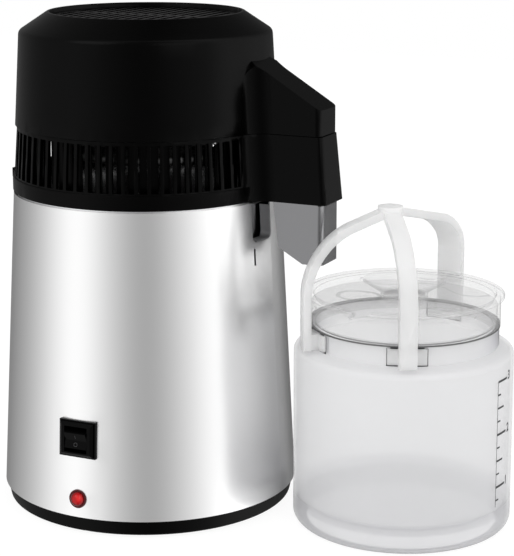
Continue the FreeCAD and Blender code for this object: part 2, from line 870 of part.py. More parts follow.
def make_housing_brackets():
    """Angle brackets on the inside of the housing, which the base is screwed to."""
    wall = cone_of_housing("bracket_wall", -s.housing_wall)
    parts = []
    for number, angle in enumerate(bracket_angles, start=1):
        turn = Rotation(Vector(0, 0, 1), angle)
        half = s.bracket_width / 2
        inner = s.bracket_pitch_radius - half
        x, y, z = polar(inner, angle, s.bracket_foot_height)
        side = (half * math.sin(math.radians(angle)), half * -math.cos(math.radians(angle)))
        foot = solid(
            "Box",
            f"bracket_foot_{number}",
            (x + side[0], y + side[1], z),
            turn,
            Length=s.housing_bottom_radius - inner,
            Width=s.bracket_width,
            Height=s.bracket_sheet,
        )
        upright_at = housing_radius(s.bracket_foot_height + s.bracket_rise) - s.housing_wall
        x, y, z = polar(upright_at - s.bracket_sheet, angle, s.bracket_foot_height)
        upright = solid(
            "Box",
            f"bracket_upright_{number}",
            (x + side[0], y + side[1], z),
            turn,
            Length=s.bracket_sheet * 3,
            Width=s.bracket_width,
            Height=s.bracket_rise,
        )
        hole_at = polar(s.bracket_pitch_radius, angle, s.bracket_foot_height)
        hole = cylinder(
            f"bracket_hole_{number}",
            s.base_screw_radius + s.screw_clearance,
            s.bracket_sheet,
            hole_at,
        )
        angle_piece = fuse(f"bracket_angle_{number}", [foot, upright])
        parts.append(cut(f"bracket_{number}", angle_piece, [hole]))
    return common("housing_brackets", group("bracket_group", parts), wall)


def cone_of_housing(name, grow):
    """A solid cone like the housing, grown or shrunk all round."""
    return solid(
        "Cone",
        name,
        (0, 0, s.housing_bottom),
        Radius1=s.housing_bottom_radius + grow,
        Radius2=s.housing_top_radius + grow,
        Height=s.housing_top - s.housing_bottom,
    )


def make_outer_housing():
    opening = s.pot_radius + s.pot_clearance
    inner_bottom = s.housing_bottom + s.housing_wall
    inner_top = s.housing_top - s.housing_wall
    piece = Piece("housing_drum")
    piece.turned(
        [
            (s.housing_bottom_radius - s.housing_lip, s.housing_bottom),
            (s.housing_bottom_radius, s.housing_bottom),
            (s.housing_top_radius, s.housing_top),
            (opening, s.housing_top),
            (opening, inner_top),
            (housing_radius(inner_top) - s.housing_wall, inner_top),
            (housing_radius(inner_bottom) - s.housing_wall, inner_bottom),
            (s.housing_bottom_radius - s.housing_lip, inner_bottom),
        ]
    )
    half_width = s.switch_body_width / 2 + s.switch_hole_clearance
    half_height = s.switch_body_height / 2 + s.switch_hole_clearance
    depth = s.bezel_seat_depth * 5
    switch_hole = on_front(
        group(
            "switch_hole",
            [box("switch_hole_box", (-half_width, -depth, -half_height), (half_width, depth, half_height))],
        ),
        s.switch_height,
    )
    reset_hole = on_front(
        group(
            "reset_hole",
            [
                cylinder(
                    "reset_hole_round",
                    s.bush_tube_radius + s.running_clearance,
                    depth * 2,
                    (0, -depth, 0),
                    ALONG_Y,
                )
            ],
        ),
        s.reset_height,
    )
    half_width = s.inlet_body_width / 2 + s.switch_hole_clearance
    half_height = s.inlet_body_height / 2 + s.switch_hole_clearance
    hole = s.inlet_screw_radius + s.screw_clearance
    inlet_hole = on_back(
        fuse(
            "inlet_hole",
            [box("inlet_hole_box", (-half_width, -depth, -half_height), (half_width, depth, half_height))]
            + [
                cylinder(
                    f"inlet_screw_hole_{side}",
                    hole,
                    depth * 2,
                    (s.inlet_screw_spacing / 2 * sign, -depth, 0),
                    ALONG_Y,
                )
                for side, sign in (("left", -1), ("right", 1))
            ],
        ),
        s.inlet_height,
    )
    reach = s.housing_wall * 8
    slit = solid(
        "Box",
        "slit",
        polar(housing_radius(s.slit_bottom) - reach / 2, -s.slit_angle, s.slit_bottom),
        Rotation(Vector(0, 0, 1), -s.slit_angle),
        Length=reach,
        Width=s.slit_width,
        Height=s.slit_length,
    )
    holes = [switch_hole, reset_hole, inlet_hole, slit, notch_tool(inner_top)]
    return cut("outer_housing", piece.body, holes)


def notch_tool(top):
    """A notch with round lower corners beside the shroud, under the housing's upper rim."""
    reach = s.pot_gap
    half = s.notch_width / 2
    start = housing_radius(s.notch_bottom) - reach / 2
    upper = box(
        "notch_upper", (start, -half, s.notch_bottom + s.notch_round), (start + reach, half, top)
    )
    inner_half = half - s.notch_round
    lower = box("notch_lower", (start, -inner_half, s.notch_bottom), (start + reach, inner_half, top))
    corners = [
        cylinder(
            f"notch_corner_{number}",
            s.notch_round,
            reach,
            (start, inner_half * side, s.notch_bottom + s.notch_round),
            ALONG_X,
        )
        for number, side in enumerate((-1, 1), start=1)
    ]
    made = fuse("notch", [upper, lower] + corners)
    return place(made, (0, 0, 0), Rotation(Vector(0, 0, 1), -float(s.notch_angle)))


def make_spout_shroud():
    """The steel shroud under the nose: a top plate, two sides and an end, open below."""
    piece = Piece("spout_shroud")
    start = s.shroud_end - s.shroud_length
    half = s.shroud_half_width
    corner = s.shroud_corner_radius
    plan = [
        (start, -half),
        (s.shroud_end, -half, corner),
        (s.shroud_end, half, corner),
        (start, half),
    ]
    piece.raised([plan], s.shroud_bottom, s.shroud_drop)
    inner = half - s.shroud_sheet
    inner_end = s.shroud_end - s.shroud_sheet
    inner_plan = [
        (start, -inner),
        (inner_end, -inner, corner - s.shroud_sheet),
        (inner_end, inner, corner - s.shroud_sheet),
        (start, inner),
    ]
    piece.sunk([inner_plan], s.shroud_bottom, s.shroud_drop - s.shroud_sheet)
    edge_x = start + s.shroud_edge_lean
    edge_bottom = s.shell_bottom - s.shroud_edge_drop
    piece.across(
        [
            (start, s.shell_bottom - s.shroud_sheet),
            (edge_x, edge_bottom),
            (edge_x + s.shroud_slope_run, s.shroud_bottom),
            (start, s.shroud_bottom),
        ],
        half * 3,
        remove=True,
    )
    hole = s.nozzle_collar_radius + s.screw_clearance
    screw_hole = s.head_screw_radius + s.screw_clearance
    rings = [Ring(s.nozzle_x, 0, hole)] + [Ring(x, y, screw_hole) for x, y in shroud_screw_places()]
    piece.sunk(rings, shroud_plate_bottom, s.shroud_sheet)
    return piece.body


def shroud_screw_places():
    return [(s.nozzle_x - s.shroud_screw_inset, 0), (s.nozzle_x + s.shroud_screw_inset * 0.9, 0)]


def make_shroud_screws():
    return screws(
        "shroud_screws",
        shroud_screw_places(),
        shroud_plate_bottom,
        s.head_screw_radius,
        s.shroud_sheet + s.shell_wall,
        s.head_screw_head_radius,
        s.head_screw_head_height,
    )


# ---------------------------------------------------------------- pot and heater


def make_boiling_pot():
    inner = s.pot_radius - s.pot_wall
    piece = Piece("boiling_pot")
    piece.turned(
        [
            (0, s.pot_bottom),
            (s.pot_radius, s.pot_bottom, s.pot_corner_radius),
            (s.pot_radius, s.housing_top),
            (s.pot_rim_radius, s.housing_top),
            (s.pot_rim_radius, pot_rim_top),
            (inner, pot_rim_top),
            (inner, s.pot_bottom + s.pot_wall, s.pot_corner_radius - s.pot_wall),
            (0, s.pot_bottom + s.pot_wall),
        ]
    )
    return piece.body


def make_heater_plate():
    return cylinder(
        "heater_plate", s.heater_plate_radius, s.heater_plate_thickness, (0, 0, heater_plate_bottom)
    )


def make_heater_element():
    """An open ring with a flat against the plate and two terminals that point down."""
    centre = heater_plate_bottom - s.heater_tube_radius + s.heater_flat
    ring = solid(
        "Torus",
        "heater_ring",
        (0, 0, centre),
        Rotation(Vector(0, 0, 1), 15),
        Radius1=s.heater_ring_radius,
        Radius2=s.heater_tube_radius,
        Angle3=330.0,
    )
    terminals = [
        cylinder(
            f"heater_terminal_{number}",
            s.heater_terminal_radius,
            s.heater_terminal_length,
            polar(s.heater_ring_radius, angle, centre - s.heater_terminal_length),
        )
        for number, angle in enumerate((17, 343), start=1)
    ]
    reach = s.heater_ring_radius + s.heater_tube_radius * 2
    plate = box(
        "heater_flat_tool",
        (-reach, -reach, heater_plate_bottom),
        (reach, reach, heater_plate_bottom + s.heater_tube_radius),
    )
    return cut("heater_element", fuse("heater_body", [ring] + terminals), [plate])


def make_centre_stud():
    return cylinder(
        "centre_stud", s.stud_radius, s.stud_length, (0, 0, heater_plate_bottom - s.stud_length)
    )


shield_bottom = heater_plate_bottom - s.stud_length + s.stud_nut_height * 1.5


def make_stud_nut():
    made = solid(
        "Prism",
        "stud_nut_blank",
        (0, 0, shield_bottom - s.stud_nut_height),
        Circumradius=s.stud_nut_radius,
        Height=s.stud_nut_height,
    )
    made.Polygon = 6
    bore = cylinder(
        "stud_nut_bore",
        s.stud_radius + s.screw_clearance,
        s.stud_nut_height,
        (0, 0, shield_bottom - s.stud_nut_height),
    )
    return cut("stud_nut", made, [bore])


def make_heat_shield():
    """A dished sheet under the heater, held on the stud by the nut."""
    bore = s.stud_radius + s.screw_clearance
    floor_top = shield_bottom + s.shield_sheet
    rim_top = shield_bottom + s.shield_rim_height
    piece = Piece("heat_shield")
    piece.turned(
        [
            (bore, shield_bottom),
            (s.shield_radius, shield_bottom),
            (s.shield_radius, rim_top),
            (s.shield_radius - s.shield_sheet, rim_top),
            (s.shield_radius - s.shield_sheet, floor_top),
            (bore, floor_top),
        ]
    )
    return piece.body


def make_thermostat(name, side):
    """A disc thermostat under the heater plate, with two blades that point down."""
    y = s.thermostat_offset * side
    bottom = heater_plate_bottom - s.thermostat_height
    disc = cylinder(f"{name}_disc", s.thermostat_radius, s.thermostat_height, (0, y, bottom))
    half = s.thermostat_blade_width / 2
    blades = [
        box(
            f"{name}_blade_{number}",
            (x * s.thermostat_radius * 0.5, y - half, bottom - s.thermostat_blade_length),
            (x * s.thermostat_radius * 0.5 + s.thermostat_blade_sheet, y + half, bottom),
        )
        for number, x in enumerate((-1, 1), start=1)
    ]
    return fuse(name, [disc] + blades)


# ---------------------------------------------------------------- rocker switch


def make_switch_body():
    """The bezel and the box behind it, with a round well for the rocker."""
    pivot = s.rocker_pivot_depth
    bezel = box(
        "bezel_plate",
        (-s.bezel_width / 2, -s.bezel_plate_proud, -s.bezel_height / 2),
        (s.bezel_width / 2, s.bezel_seat_depth, s.bezel_height / 2),
    )
    seated = cut("bezel_seated", bezel, [wall_tool("bezel_wall", s.switch_height, s.bezel_height)])
    block = box(
        "switch_block",
        (-s.switch_body_width / 2, 0, -s.switch_body_height / 2),
        (s.switch_body_width / 2, s.switch_body_depth, s.switch_body_height / 2),
    )
    half = s.switch_tab_sheet / 2
    tabs = [
        box(
            f"switch_tab_{number}",
            (-s.switch_tab_width / 2, s.switch_body_depth, z * s.switch_body_height - half),
            (
                s.switch_tab_width / 2,
                s.switch_body_depth + s.switch_tab_length,
                z * s.switch_body_height + half,
            ),
        )
        for number, z in enumerate((-0.28, 0.28), start=1)
    ]
    well_radius = s.rocker_radius + s.rocker_clearance
    well_length = s.rocker_length + s.rocker_clearance * 2
    well = cylinder(
        "rocker_well", well_radius, well_length, (-well_length / 2, pivot, 0), ALONG_X
    )
    mouth = box(
        "rocker_mouth",
        (-well_length / 2, -s.bezel_proud * 2, -well_radius),
        (well_length / 2, pivot, well_radius),
    )
    pin_space = s.trunnion_length + s.running_clearance * 2
    bore_length = s.rocker_length + pin_space * 2
    bore = cylinder(
        "trunnion_bore",
        s.trunnion_radius + s.running_clearance,
        bore_length,
        (-bore_length / 2, pivot, 0),
        ALONG_X,
    )
    solid_body = fuse("switch_solid", [seated, make_bezel_frame(), block] + tabs)
    return on_front(cut("switch_body", solid_body, [well, mouth, bore]), s.switch_height)


def make_bezel_frame():
    """The raised frame on the bezel's plate, bevelled towards the rocker."""
    half_width = s.bezel_width / 2 - s.bezel_step_inset
    half_height = s.bezel_height / 2 - s.bezel_step_inset
    front_width = half_width - s.bezel_bevel
    front_height = half_height - s.bezel_bevel
    foot = rectangle(-half_width, -half_height, half_width, half_height)
    front = rectangle(-front_width, -front_height, front_width, front_height)
    piece = Piece("bezel_frame")
    piece.raised([foot], 0, s.bezel_step_proud)
    piece.lofted(foot, s.bezel_step_proud, front, s.bezel_proud)
    return place(piece.body, (0, 0, 0), Rotation(Vector(1, 0, 0), 90))


def make_rocker():
    """The rocker, pressed in at its lower end."""
    half = s.rocker_length / 2
    end_height = root(square(s.rocker_radius) - square(s.rocker_end_depth))
    back = s.rocker_radius * 0.5
    back_height = s.rocker_radius * 0.8
    outline = [
        (-s.rocker_valley_depth, 0),
        (-s.rocker_end_depth, -end_height),
        (0, -s.rocker_radius),
        (back, -back_height),
        (back, back_height),
        (0, s.rocker_radius),
        (-s.rocker_end_depth, end_height),
    ]
    piece = Piece("rocker_key")
    sketch = piece.sketch("YZ_Plane", [outline])
    piece.feature("Pad", Profile=sketch, Length=s.rocker_length, SideType="Symmetric")
    pin = cylinder(
        "rocker_pin",
        s.trunnion_radius,
        (half + s.trunnion_length) * 2,
        (-half - s.trunnion_length, 0, 0),
        ALONG_X,
    )
    made = fuse("rocker", [piece.body, pin])
    centre = rocker_pivot()
    return place(made, centre, Rotation(Vector(1, 0, 0), s.rocker_half_angle - housing_lean()))


def rocker_pivot():
    """The rocker's axis, behind the front wall and square to it."""
    lean = math.radians(housing_lean())
    depth = s.rocker_pivot_depth
    y = depth * math.cos(lean) - housing_radius(s.switch_height)
    return (0, y, s.switch_height - depth * math.sin(lean))


# ---------------------------------------------------------------- reset button


collar_front = s.bush_step_depth
collar_back = collar_front + s.button_collar_thickness


def make_reset_bush():
    """A flanged bush in the wall, with a step that keeps the button in."""
    front = -s.bush_flange_proud
    flange = cylinder(
        "bush_flange",
        s.bush_flange_radius,
        s.bush_flange_proud + s.bush_flange_seat,
        (0, front, 0),
        ALONG_Y,
    )
    seated = cut("bush_seated", flange, [wall_tool("bush_wall", s.reset_height, s.bush_flange_radius)])
    tube = cylinder("bush_tube", s.bush_tube_radius, s.bush_length, (0, 0, 0), ALONG_Y)
    bore = cylinder(
        "bush_bore",
        s.button_radius + s.running_clearance * 2,
        s.bush_length + s.bush_flange_proud,
        (0, front, 0),
        ALONG_Y,
    )
    step = cylinder(
        "bush_step",
        s.button_collar_radius + s.running_clearance * 2,
        s.bush_length - s.bush_step_depth,
        (0, s.bush_step_depth, 0),
        ALONG_Y,
    )
    made = cut("reset_bush", fuse("bush_solid", [seated, tube]), [bore, step])
    return on_front(made, s.reset_height)


def make_reset_button():
    """A domed button with a collar behind the bush's step and a stem into the breaker."""
    tip = -s.bush_flange_proud - s.button_proud
    piece = Piece("reset_button")
    piece.turned(
        [
            (0, tip),
            (s.button_radius, tip, s.button_dome_radius),
            (s.button_radius, collar_front),
            (s.button_collar_radius, collar_front),
            (s.button_collar_radius, collar_back),
            (s.button_stem_radius, collar_back),
            (s.button_stem_radius, collar_back + s.button_stem_length),
            (0, collar_back + s.button_stem_length),
        ]
    )
    return on_front(piece.body, s.reset_height, ALONG_Y)


def make_reset_spring():
    """A coil spring between the button's collar and the breaker."""
    made = doc.addObject("Part::Feature", "reset_spring")
    start = float(collar_back + s.spring_wire_radius + s.spring_end_clearance)
    end = float(s.bush_length - s.spring_wire_radius - s.spring_end_clearance)
    turns = float(s.spring_turns)
    helix = Part.makeHelix((end - start) / turns, end - start, float(s.spring_radius))
    wire = Part.Wire(helix.Edges)
    section = Part.Wire(
        Part.makeCircle(
            float(s.spring_wire_radius), Vector(float(s.spring_radius), 0, 0), Vector(0, 1, 0)
        )
    )
    made.Shape = wire.makePipeShell([section], True, True)
    made.Placement = front_frame(s.reset_height).multiply(
        FreeCAD.Placement(Vector(0, start, 0), ALONG_Y)
    )
    return made


def front_frame(height):
    """The placement that on_front gives."""
    lean = Rotation(Vector(1, 0, 0), -housing_lean())
    return FreeCAD.Placement(Vector(0, -float(housing_radius(height)), float(height)), lean)


def make_reset_breaker():
    """The manual-reset breaker behind the bush."""
    half_width, half_height = s.breaker_width / 2, s.breaker_height / 2
    block = box(
        "breaker_block",
        (-half_width, s.bush_length, -half_height),
        (half_width, s.bush_length + s.breaker_depth, half_height),
    )
    bore = cylinder(
        "breaker_bore",
        s.button_stem_radius + s.running_clearance,
        s.button_stem_length,
        (0, s.bush_length, 0),
        ALONG_Y,
    )
    return on_front(cut("reset_breaker", block, [bore]), s.reset_height)


# ---------------------------------------------------------------- mains inlet


def make_power_inlet():
    """A flanged appliance inlet in the wall opposite the nose."""
    plate = box(
        "inlet_plate",
        (-s.inlet_plate_width / 2, -s.inlet_plate_thickness, -s.inlet_plate_height / 2),
        (s.inlet_plate_width / 2, s.inlet_seat_depth, s.inlet_plate_height / 2),
    )
    seated = cut("inlet_seated", plate, [wall_tool("inlet_wall", s.inlet_height, s.inlet_plate_height)])
    block = box(
        "inlet_block",
        (-s.inlet_body_width / 2, 0, -s.inlet_body_height / 2),
        (s.inlet_body_width / 2, s.inlet_body_depth, s.inlet_body_height / 2),
    )
    cavity = box(
        "inlet_cavity",
        (-s.inlet_cavity_width / 2, -s.inlet_plate_thickness, -s.inlet_cavity_height / 2),
        (
            s.inlet_cavity_width / 2,
            s.inlet_cavity_depth - s.inlet_plate_thickness,
            s.inlet_cavity_height / 2,
        ),
    )
    holes = [
        cylinder(
            f"inlet_plate_hole_{side}",
            s.inlet_screw_radius + s.screw_clearance,
            s.inlet_plate_thickness + s.inlet_seat_depth,
            (s.inlet_screw_spacing / 2 * sign, -s.inlet_plate_thickness, 0),
            ALONG_Y,
        )
        for side, sign in (("left", -1), ("right", 1))
    ]
    made = cut("power_inlet", fuse("inlet_solid", [seated, block]), [cavity] + holes)
    return on_back(made, s.inlet_height)


def make_inlet_pins():
    back = s.inlet_cavity_depth - s.inlet_plate_thickness
    half_sheet, half_width = s.inlet_pin_sheet / 2, s.inlet_pin_width / 2
    lift = s.inlet_earth_rise
    centres = ((-1, -1), (1, -1), (0, 1))
    pins = []
    for number, (column, row) in enumerate(centres, start=1):
        x, z = s.inlet_pin_spacing * column, lift * 0.5 * row
        pins.append(
            box(
                f"inlet_pin_{number}",
                (x - half_sheet, back - s.inlet_pin_length, z - half_width),
                (x + half_sheet, back, z + half_width),
            )
        )
    return on_back(group("inlet_pins", pins), s.inlet_height)


def make_inlet_screws():
    parts = []
    for number, sign in enumerate((-1, 1), start=1):
        x = s.inlet_screw_spacing / 2 * sign
        head = cylinder(
            f"inlet_screw_head_{number}",
            s.inlet_screw_head_radius,
            s.inlet_screw_head_height,
            (x, -s.inlet_plate_thickness - s.inlet_screw_head_height, 0),
            ALONG_Y,
        )
        shank = cylinder(
            f"inlet_screw_shank_{number}",
            s.inlet_screw_radius,
            s.inlet_screw_length,
            (x, -s.inlet_plate_thickness, 0),
            ALONG_Y,
        )
        parts.append(fuse(f"inlet_screw_{number}", [head, shank]))
    return on_back(group("inlet_screws", parts), s.inlet_height)


# ---------------------------------------------------------------- head


def make_pot_gasket():
    ring = cylinder("gasket_disc", s.gasket_outer_radius, s.gasket_thickness, (0, 0, pot_rim_top))
    bore = cylinder("gasket_bore", s.gasket_inner_radius, s.gasket_thickness, (0, 0, pot_rim_top))
    return cut("pot_gasket", ring, [bore])


def pan_screw_places():
    return [polar(s.pan_screw_pitch_radius, a)[:2] for a in spread(s.pan_screw_count, 30)]


def make_condenser_pan():
    """The dished sheet that closes the pot, with a port that the coil's riser stands in."""
    bore = s.coil_tube_radius + s.screw_clearance
    port_outer = bore + s.port_wall
    port_top = port_bottom + s.pan_sheet + s.port_height
    piece = Piece("condenser_pan")
    piece.turned(
        [
            (s.gasket_outer_radius, gasket_top),
            (s.gasket_outer_radius, pan_top),
            (s.pan_flat_radius, pan_top),
            (s.pan_neck_radius, port_bottom + s.pan_sheet),
            (port_outer, port_bottom + s.pan_sheet),
            (port_outer, port_top),
            (bore, port_top),
            (bore, port_bottom),
            (s.pan_neck_radius, port_bottom),
            (s.pan_flat_radius, gasket_top),
        ]
    )
    hole = s.head_screw_radius + s.screw_clearance
    piece.sunk([Ring(x, y, hole) for x, y in pan_screw_places()], gasket_top, s.pan_sheet)
    return piece.body


def make_pan_screws():
    return screws(
        "pan_screws",
        pan_screw_places(),
        gasket_top,
        s.head_screw_radius,
        s.pan_sheet + s.shell_wall,
        s.head_screw_head_radius,
        s.head_screw_head_height,
    )


def head_screw_places():
    return [polar(s.boss_pitch_radius, a)[:2] for a in spread(s.head_screw_count, 90)]


def fan_bracket_screw_places():
    return [polar(s.bracket_screw_pitch_radius, a)[:2] for a in spread(3, 30)]


def make_head_shell():
    """The lower black moulding: a lip over the pot's rim, a louvred ring, and the nose's lower half."""
    inner_lip = s.lip_radius - s.lip_thickness
    louvre_bottom_inner = s.louvre_bottom_radius - s.shell_wall
    louvre_top_inner = s.louvre_top_radius - s.shell_wall
    piece = Piece("head_shell")
    piece.turned(
        [
            (inner_lip, s.shell_bottom),
            (s.lip_radius, s.shell_bottom, s.shell_wall * 0.4),
            (s.lip_radius, s.lip_top, s.shell_wall * 0.2),
            (s.louvre_bottom_radius, s.lip_top),
            (s.louvre_top_radius, s.seam_height),
            (s.top_ledge_inner_radius, s.seam_height),
            (s.top_ledge_inner_radius, top_ledge_bottom),
            (louvre_top_inner, top_ledge_bottom),
            (louvre_bottom_inner, floor_ledge_top),
            (s.floor_ledge_inner_radius, floor_ledge_top),
            (s.floor_ledge_inner_radius, pan_top),
            (inner_lip, pan_top),
        ]
    )
    slot_bottom = s.lip_top + s.slot_margin
    slot_height = top_ledge_bottom - slot_bottom - s.slot_margin * 0.2
    slot = piece.sunk(
        [
            rectangle(
                louvre_top_inner - s.shell_wall,
                -s.slot_width / 2,
                s.lip_radius + s.shell_wall,
                s.slot_width / 2,
            )
        ],
        slot_bottom,
        slot_height,
    )
    piece.around(slot, s.slot_count)
    piece.lofted(
        nose_plan(
            s.lip_radius,
            s.nose_bottom_half_width,
            s.nose_bottom_end,
            s.nose_flare,
            s.nose_corner_radius,
        ),
        s.shell_bottom,
        nose_plan(
            s.louvre_top_radius,
            s.nose_seam_half_width,
            s.nose_seam_end,
            s.nose_flare,
            s.nose_corner_radius,
        ),
        s.seam_height,
    )
    piece.turned(
        [
            (0, floor_ledge_top),
            (louvre_bottom_inner, floor_ledge_top),
            (louvre_top_inner, top_ledge_bottom),
            (0, top_ledge_bottom),
        ],
        remove=True,
    )
    piece.turned(
        [(0, s.shell_bottom), (inner_lip, s.shell_bottom), (inner_lip, pan_top), (0, pan_top)],
        remove=True,
    )
    piece.turned(
        [
            (0, pan_top),
            (s.floor_ledge_inner_radius, pan_top),
            (s.floor_ledge_inner_radius, floor_ledge_top),
            (0, floor_ledge_top),
        ],
        remove=True,
    )
    piece.turned(
        [
            (0, top_ledge_bottom),
            (s.top_ledge_inner_radius, top_ledge_bottom),
            (s.top_ledge_inner_radius, s.seam_height),
            (0, s.seam_height),
        ],
        remove=True,
    )
    duct = s.nose_seam_half_width - s.shell_wall
    duct_end = s.nose_seam_end - s.shell_wall
    piece.across(
        rectangle(s.top_ledge_inner_radius, floor_ledge_top, duct_end, top_ledge_bottom),
        duct * 2,
        remove=True,
    )
    piece.across(
        rectangle(s.lip_radius, nose_floor_top, duct_end, s.seam_height), duct * 2, remove=True
    )
    nozzle_hole = s.nozzle_collar_radius + s.screw_clearance
    shroud_hole = s.head_screw_radius + s.screw_clearance
    nose_holes = [Ring(x, y, shroud_hole) for x, y in shroud_screw_places()]
    piece.sunk([Ring(s.nozzle_x, 0, nozzle_hole)] + nose_holes, s.shell_bottom, s.shell_wall)
    piece.across(
        [
            (-inner_lip - s.shell_wall / 2, s.shell_bottom),
            (-s.hood_reach, s.shell_bottom),
            (-s.hood_reach, s.shell_bottom + s.hood_end_height),
            (-inner_lip - s.shell_wall / 2, s.shell_bottom + s.hood_root_height),
        ],
        s.hood_width,
    )
    piece.across(
        rectangle(
            -s.hood_reach + s.hood_wall,
            s.shell_bottom,
            -s.lip_radius - s.hood_wall,
            s.shell_bottom + s.hood_end_height - s.hood_wall,
        ),
        s.hood_width - s.hood_wall * 2,
        remove=True,
    )
    screw_hole = s.head_screw_radius + s.screw_clearance
    top_holes = [Ring(x, y, screw_hole) for x, y in head_screw_places() + fan_bracket_screw_places()]
    piece.sunk(top_holes, top_ledge_bottom, s.shell_wall)
    floor_holes = [Ring(x, y, screw_hole) for x, y in pan_screw_places()]
    piece.sunk(floor_holes, pan_top, s.shell_wall)
    return piece.body


def make_finger_guard():
    """A slotted ring behind the louvres, whose slots stand behind the louvres' ribs."""
    outer = s.guard_radius + s.guard_sheet
    piece = Piece("finger_guard")
    height = top_ledge_bottom - floor_ledge_top
    piece.raised([Ring(0, 0, outer), Ring(0, 0, s.guard_radius)], floor_ledge_top, height)
    half = s.guard_slot_width / 2
    centre = math.radians(180 / float(s.slot_count))
    start, end = s.guard_radius - s.guard_sheet, outer + s.guard_sheet
    cosine, sine = math.cos(centre), math.sin(centre)
    corners = [
        (u * cosine - v * sine, u * sine + v * cosine)
        for u, v in ((start, -half), (end, -half), (end, half), (start, half))
    ]
    slot = piece.sunk([corners], floor_ledge_top + s.guard_margin, height - s.guard_margin * 2)
    piece.around(slot, s.slot_count)
    duct = s.nose_seam_half_width - s.shell_wall
    opening = rectangle(0, floor_ledge_top, s.lip_radius, top_ledge_bottom)
    piece.across(opening, duct * 2, remove=True)
    return piece.body


def make_fan_socket():
    """The plug-in block for the fan's lead, inside the hood."""
    half = s.hood_width / 2 - s.hood_wall - s.foot_clearance
    top = s.shell_bottom + s.hood_end_height - s.hood_wall
    return box(
        "fan_socket",
        (-s.hood_reach + s.hood_wall + s.foot_clearance, -half, top - s.hood_wall),
        (-s.lip_radius - s.hood_wall - s.foot_clearance, half, top),
    )


def make_fan_socket_pins():
    top = s.shell_bottom + s.hood_end_height - s.hood_wall * 2
    x = -(s.hood_reach + s.lip_radius) / 2
    pins = [
        cylinder(
            f"fan_socket_pin_{number}",
            s.head_screw_radius * 0.7,
            top - s.shell_bottom - s.seam_gap,
            (x, s.hood_width * 0.2 * side, s.shell_bottom + s.seam_gap),
        )
        for number, side in enumerate((-1, 1), start=1)
    ]
    return group("fan_socket_pins", pins)


def nose_slope(x):
    """Height of the nose's sloping top at a distance from the axis."""
    run = s.upper_nose_end - s.cover_shoulder_radius
    fall = s.nose_root_height - s.nose_end_height
    return s.nose_end_height + (s.upper_nose_end - x) * fall / run


def make_head_cover():
    """The upper black moulding: the dome with its recessed top, and the nose's upper half."""
    piece = Piece("head_cover")
    block_top = s.nose_root_height + s.nose_corner_radius
    share = (block_top - cover_bottom) / (s.cover_shoulder_height - cover_bottom)
    wall_at_top = s.cover_bottom_radius + (s.cover_shoulder_radius - s.cover_bottom_radius) * share
    shape = (s.nose_seam_half_width, s.upper_nose_end, s.nose_flare, s.nose_corner_radius)
    inset = s.seam_gap
    piece.lofted(
        nose_plan(s.cover_bottom_radius - inset, *shape),
        cover_bottom,
        nose_plan(wall_at_top - inset, *shape),
        block_top,
    )
    beyond = s.upper_nose_end + s.nose_corner_radius * 2
    inside = s.cover_shoulder_radius * 0.7
    piece.across(
        [
            (inside, nose_slope(inside)),
            (beyond, nose_slope(beyond)),
            (beyond, s.cover_top + s.nose_root_height - s.nose_end_height),
            (inside, s.cover_top + s.nose_root_height - s.nose_end_height),
        ],
        (s.nose_seam_half_width + s.nose_flare) * 3,
        remove=True,
    )
    trim_flares(piece)
    ledge_radius = s.recess_radius - s.grille_ledge_width
    ledge_bottom = recess_floor - s.cover_wall
    piece.turned(
        [
            (0, cover_bottom),
            (s.cover_bottom_radius, cover_bottom),
            (s.cover_shoulder_radius, s.cover_shoulder_height, s.cover_shoulder_round),
            (s.cover_land_radius, s.cover_top, s.cover_wall * 0.6),
            (s.recess_radius, s.cover_top),
            (s.recess_radius, recess_floor),
            (0, recess_floor),
        ]
    )
    inner_bottom = s.cover_bottom_radius - s.cover_wall
    inner_shoulder = s.cover_shoulder_radius - s.cover_wall
    piece.turned(
        [
            (0, cover_bottom),
            (inner_bottom, cover_bottom),
            (inner_shoulder, s.cover_shoulder_height - s.cover_wall * 2),
            (s.recess_radius + s.grille_ledge_width, ledge_bottom),
            (ledge_radius, ledge_bottom),
            (ledge_radius, recess_floor),
            (0, recess_floor),
        ],
        remove=True,
    )
    duct = s.nose_seam_half_width - s.cover_wall
    duct_end = s.upper_nose_end - s.cover_wall
    duct_start = s.cover_shoulder_radius - s.cover_wall
    piece.across(
        [
            (duct_start, cover_bottom),
            (duct_end, cover_bottom),
            (duct_end, nose_slope(duct_end) - s.cover_wall * 1.5),
            (duct_start, nose_slope(duct_start) - s.cover_wall * 1.5),
        ],
        duct * 2,
        remove=True,
    )
    bosses = head_screw_places()
    piece.raised([Ring(x, y, s.boss_radius) for x, y in bosses], s.seam_height, s.boss_height)
    hole = s.head_screw_radius + s.screw_clearance
    depth = s.head_screw_length
    piece.sunk([Ring(x, y, hole) for x, y in bosses], s.seam_height, depth)
    return piece.body


def trim_flares(piece):
    """Slopes the top of the nose's two flares down, away from its middle."""
    near = s.nose_seam_half_width
    far = near + s.nose_flare * 2
    low = s.nose_root_height - (far - near) * s.nose_flare_fall
    top = s.cover_top
    sides = [
        [(near * side, s.nose_root_height), (far * side, low), (far * side, top), (near * side, top)]
        for side in (-1, 1)
    ]
    sketch = piece.sketch("YZ_Plane", sides)
    piece.feature("Pocket", Profile=sketch, Length=s.nose_bottom_end * 2, SideType="Symmetric")


def make_head_screws():
    return screws(
        "head_screws",
        head_screw_places(),
        top_ledge_bottom,
        s.head_screw_radius,
        s.head_screw_length,
        s.head_screw_head_radius,
        s.head_screw_head_height,
    )


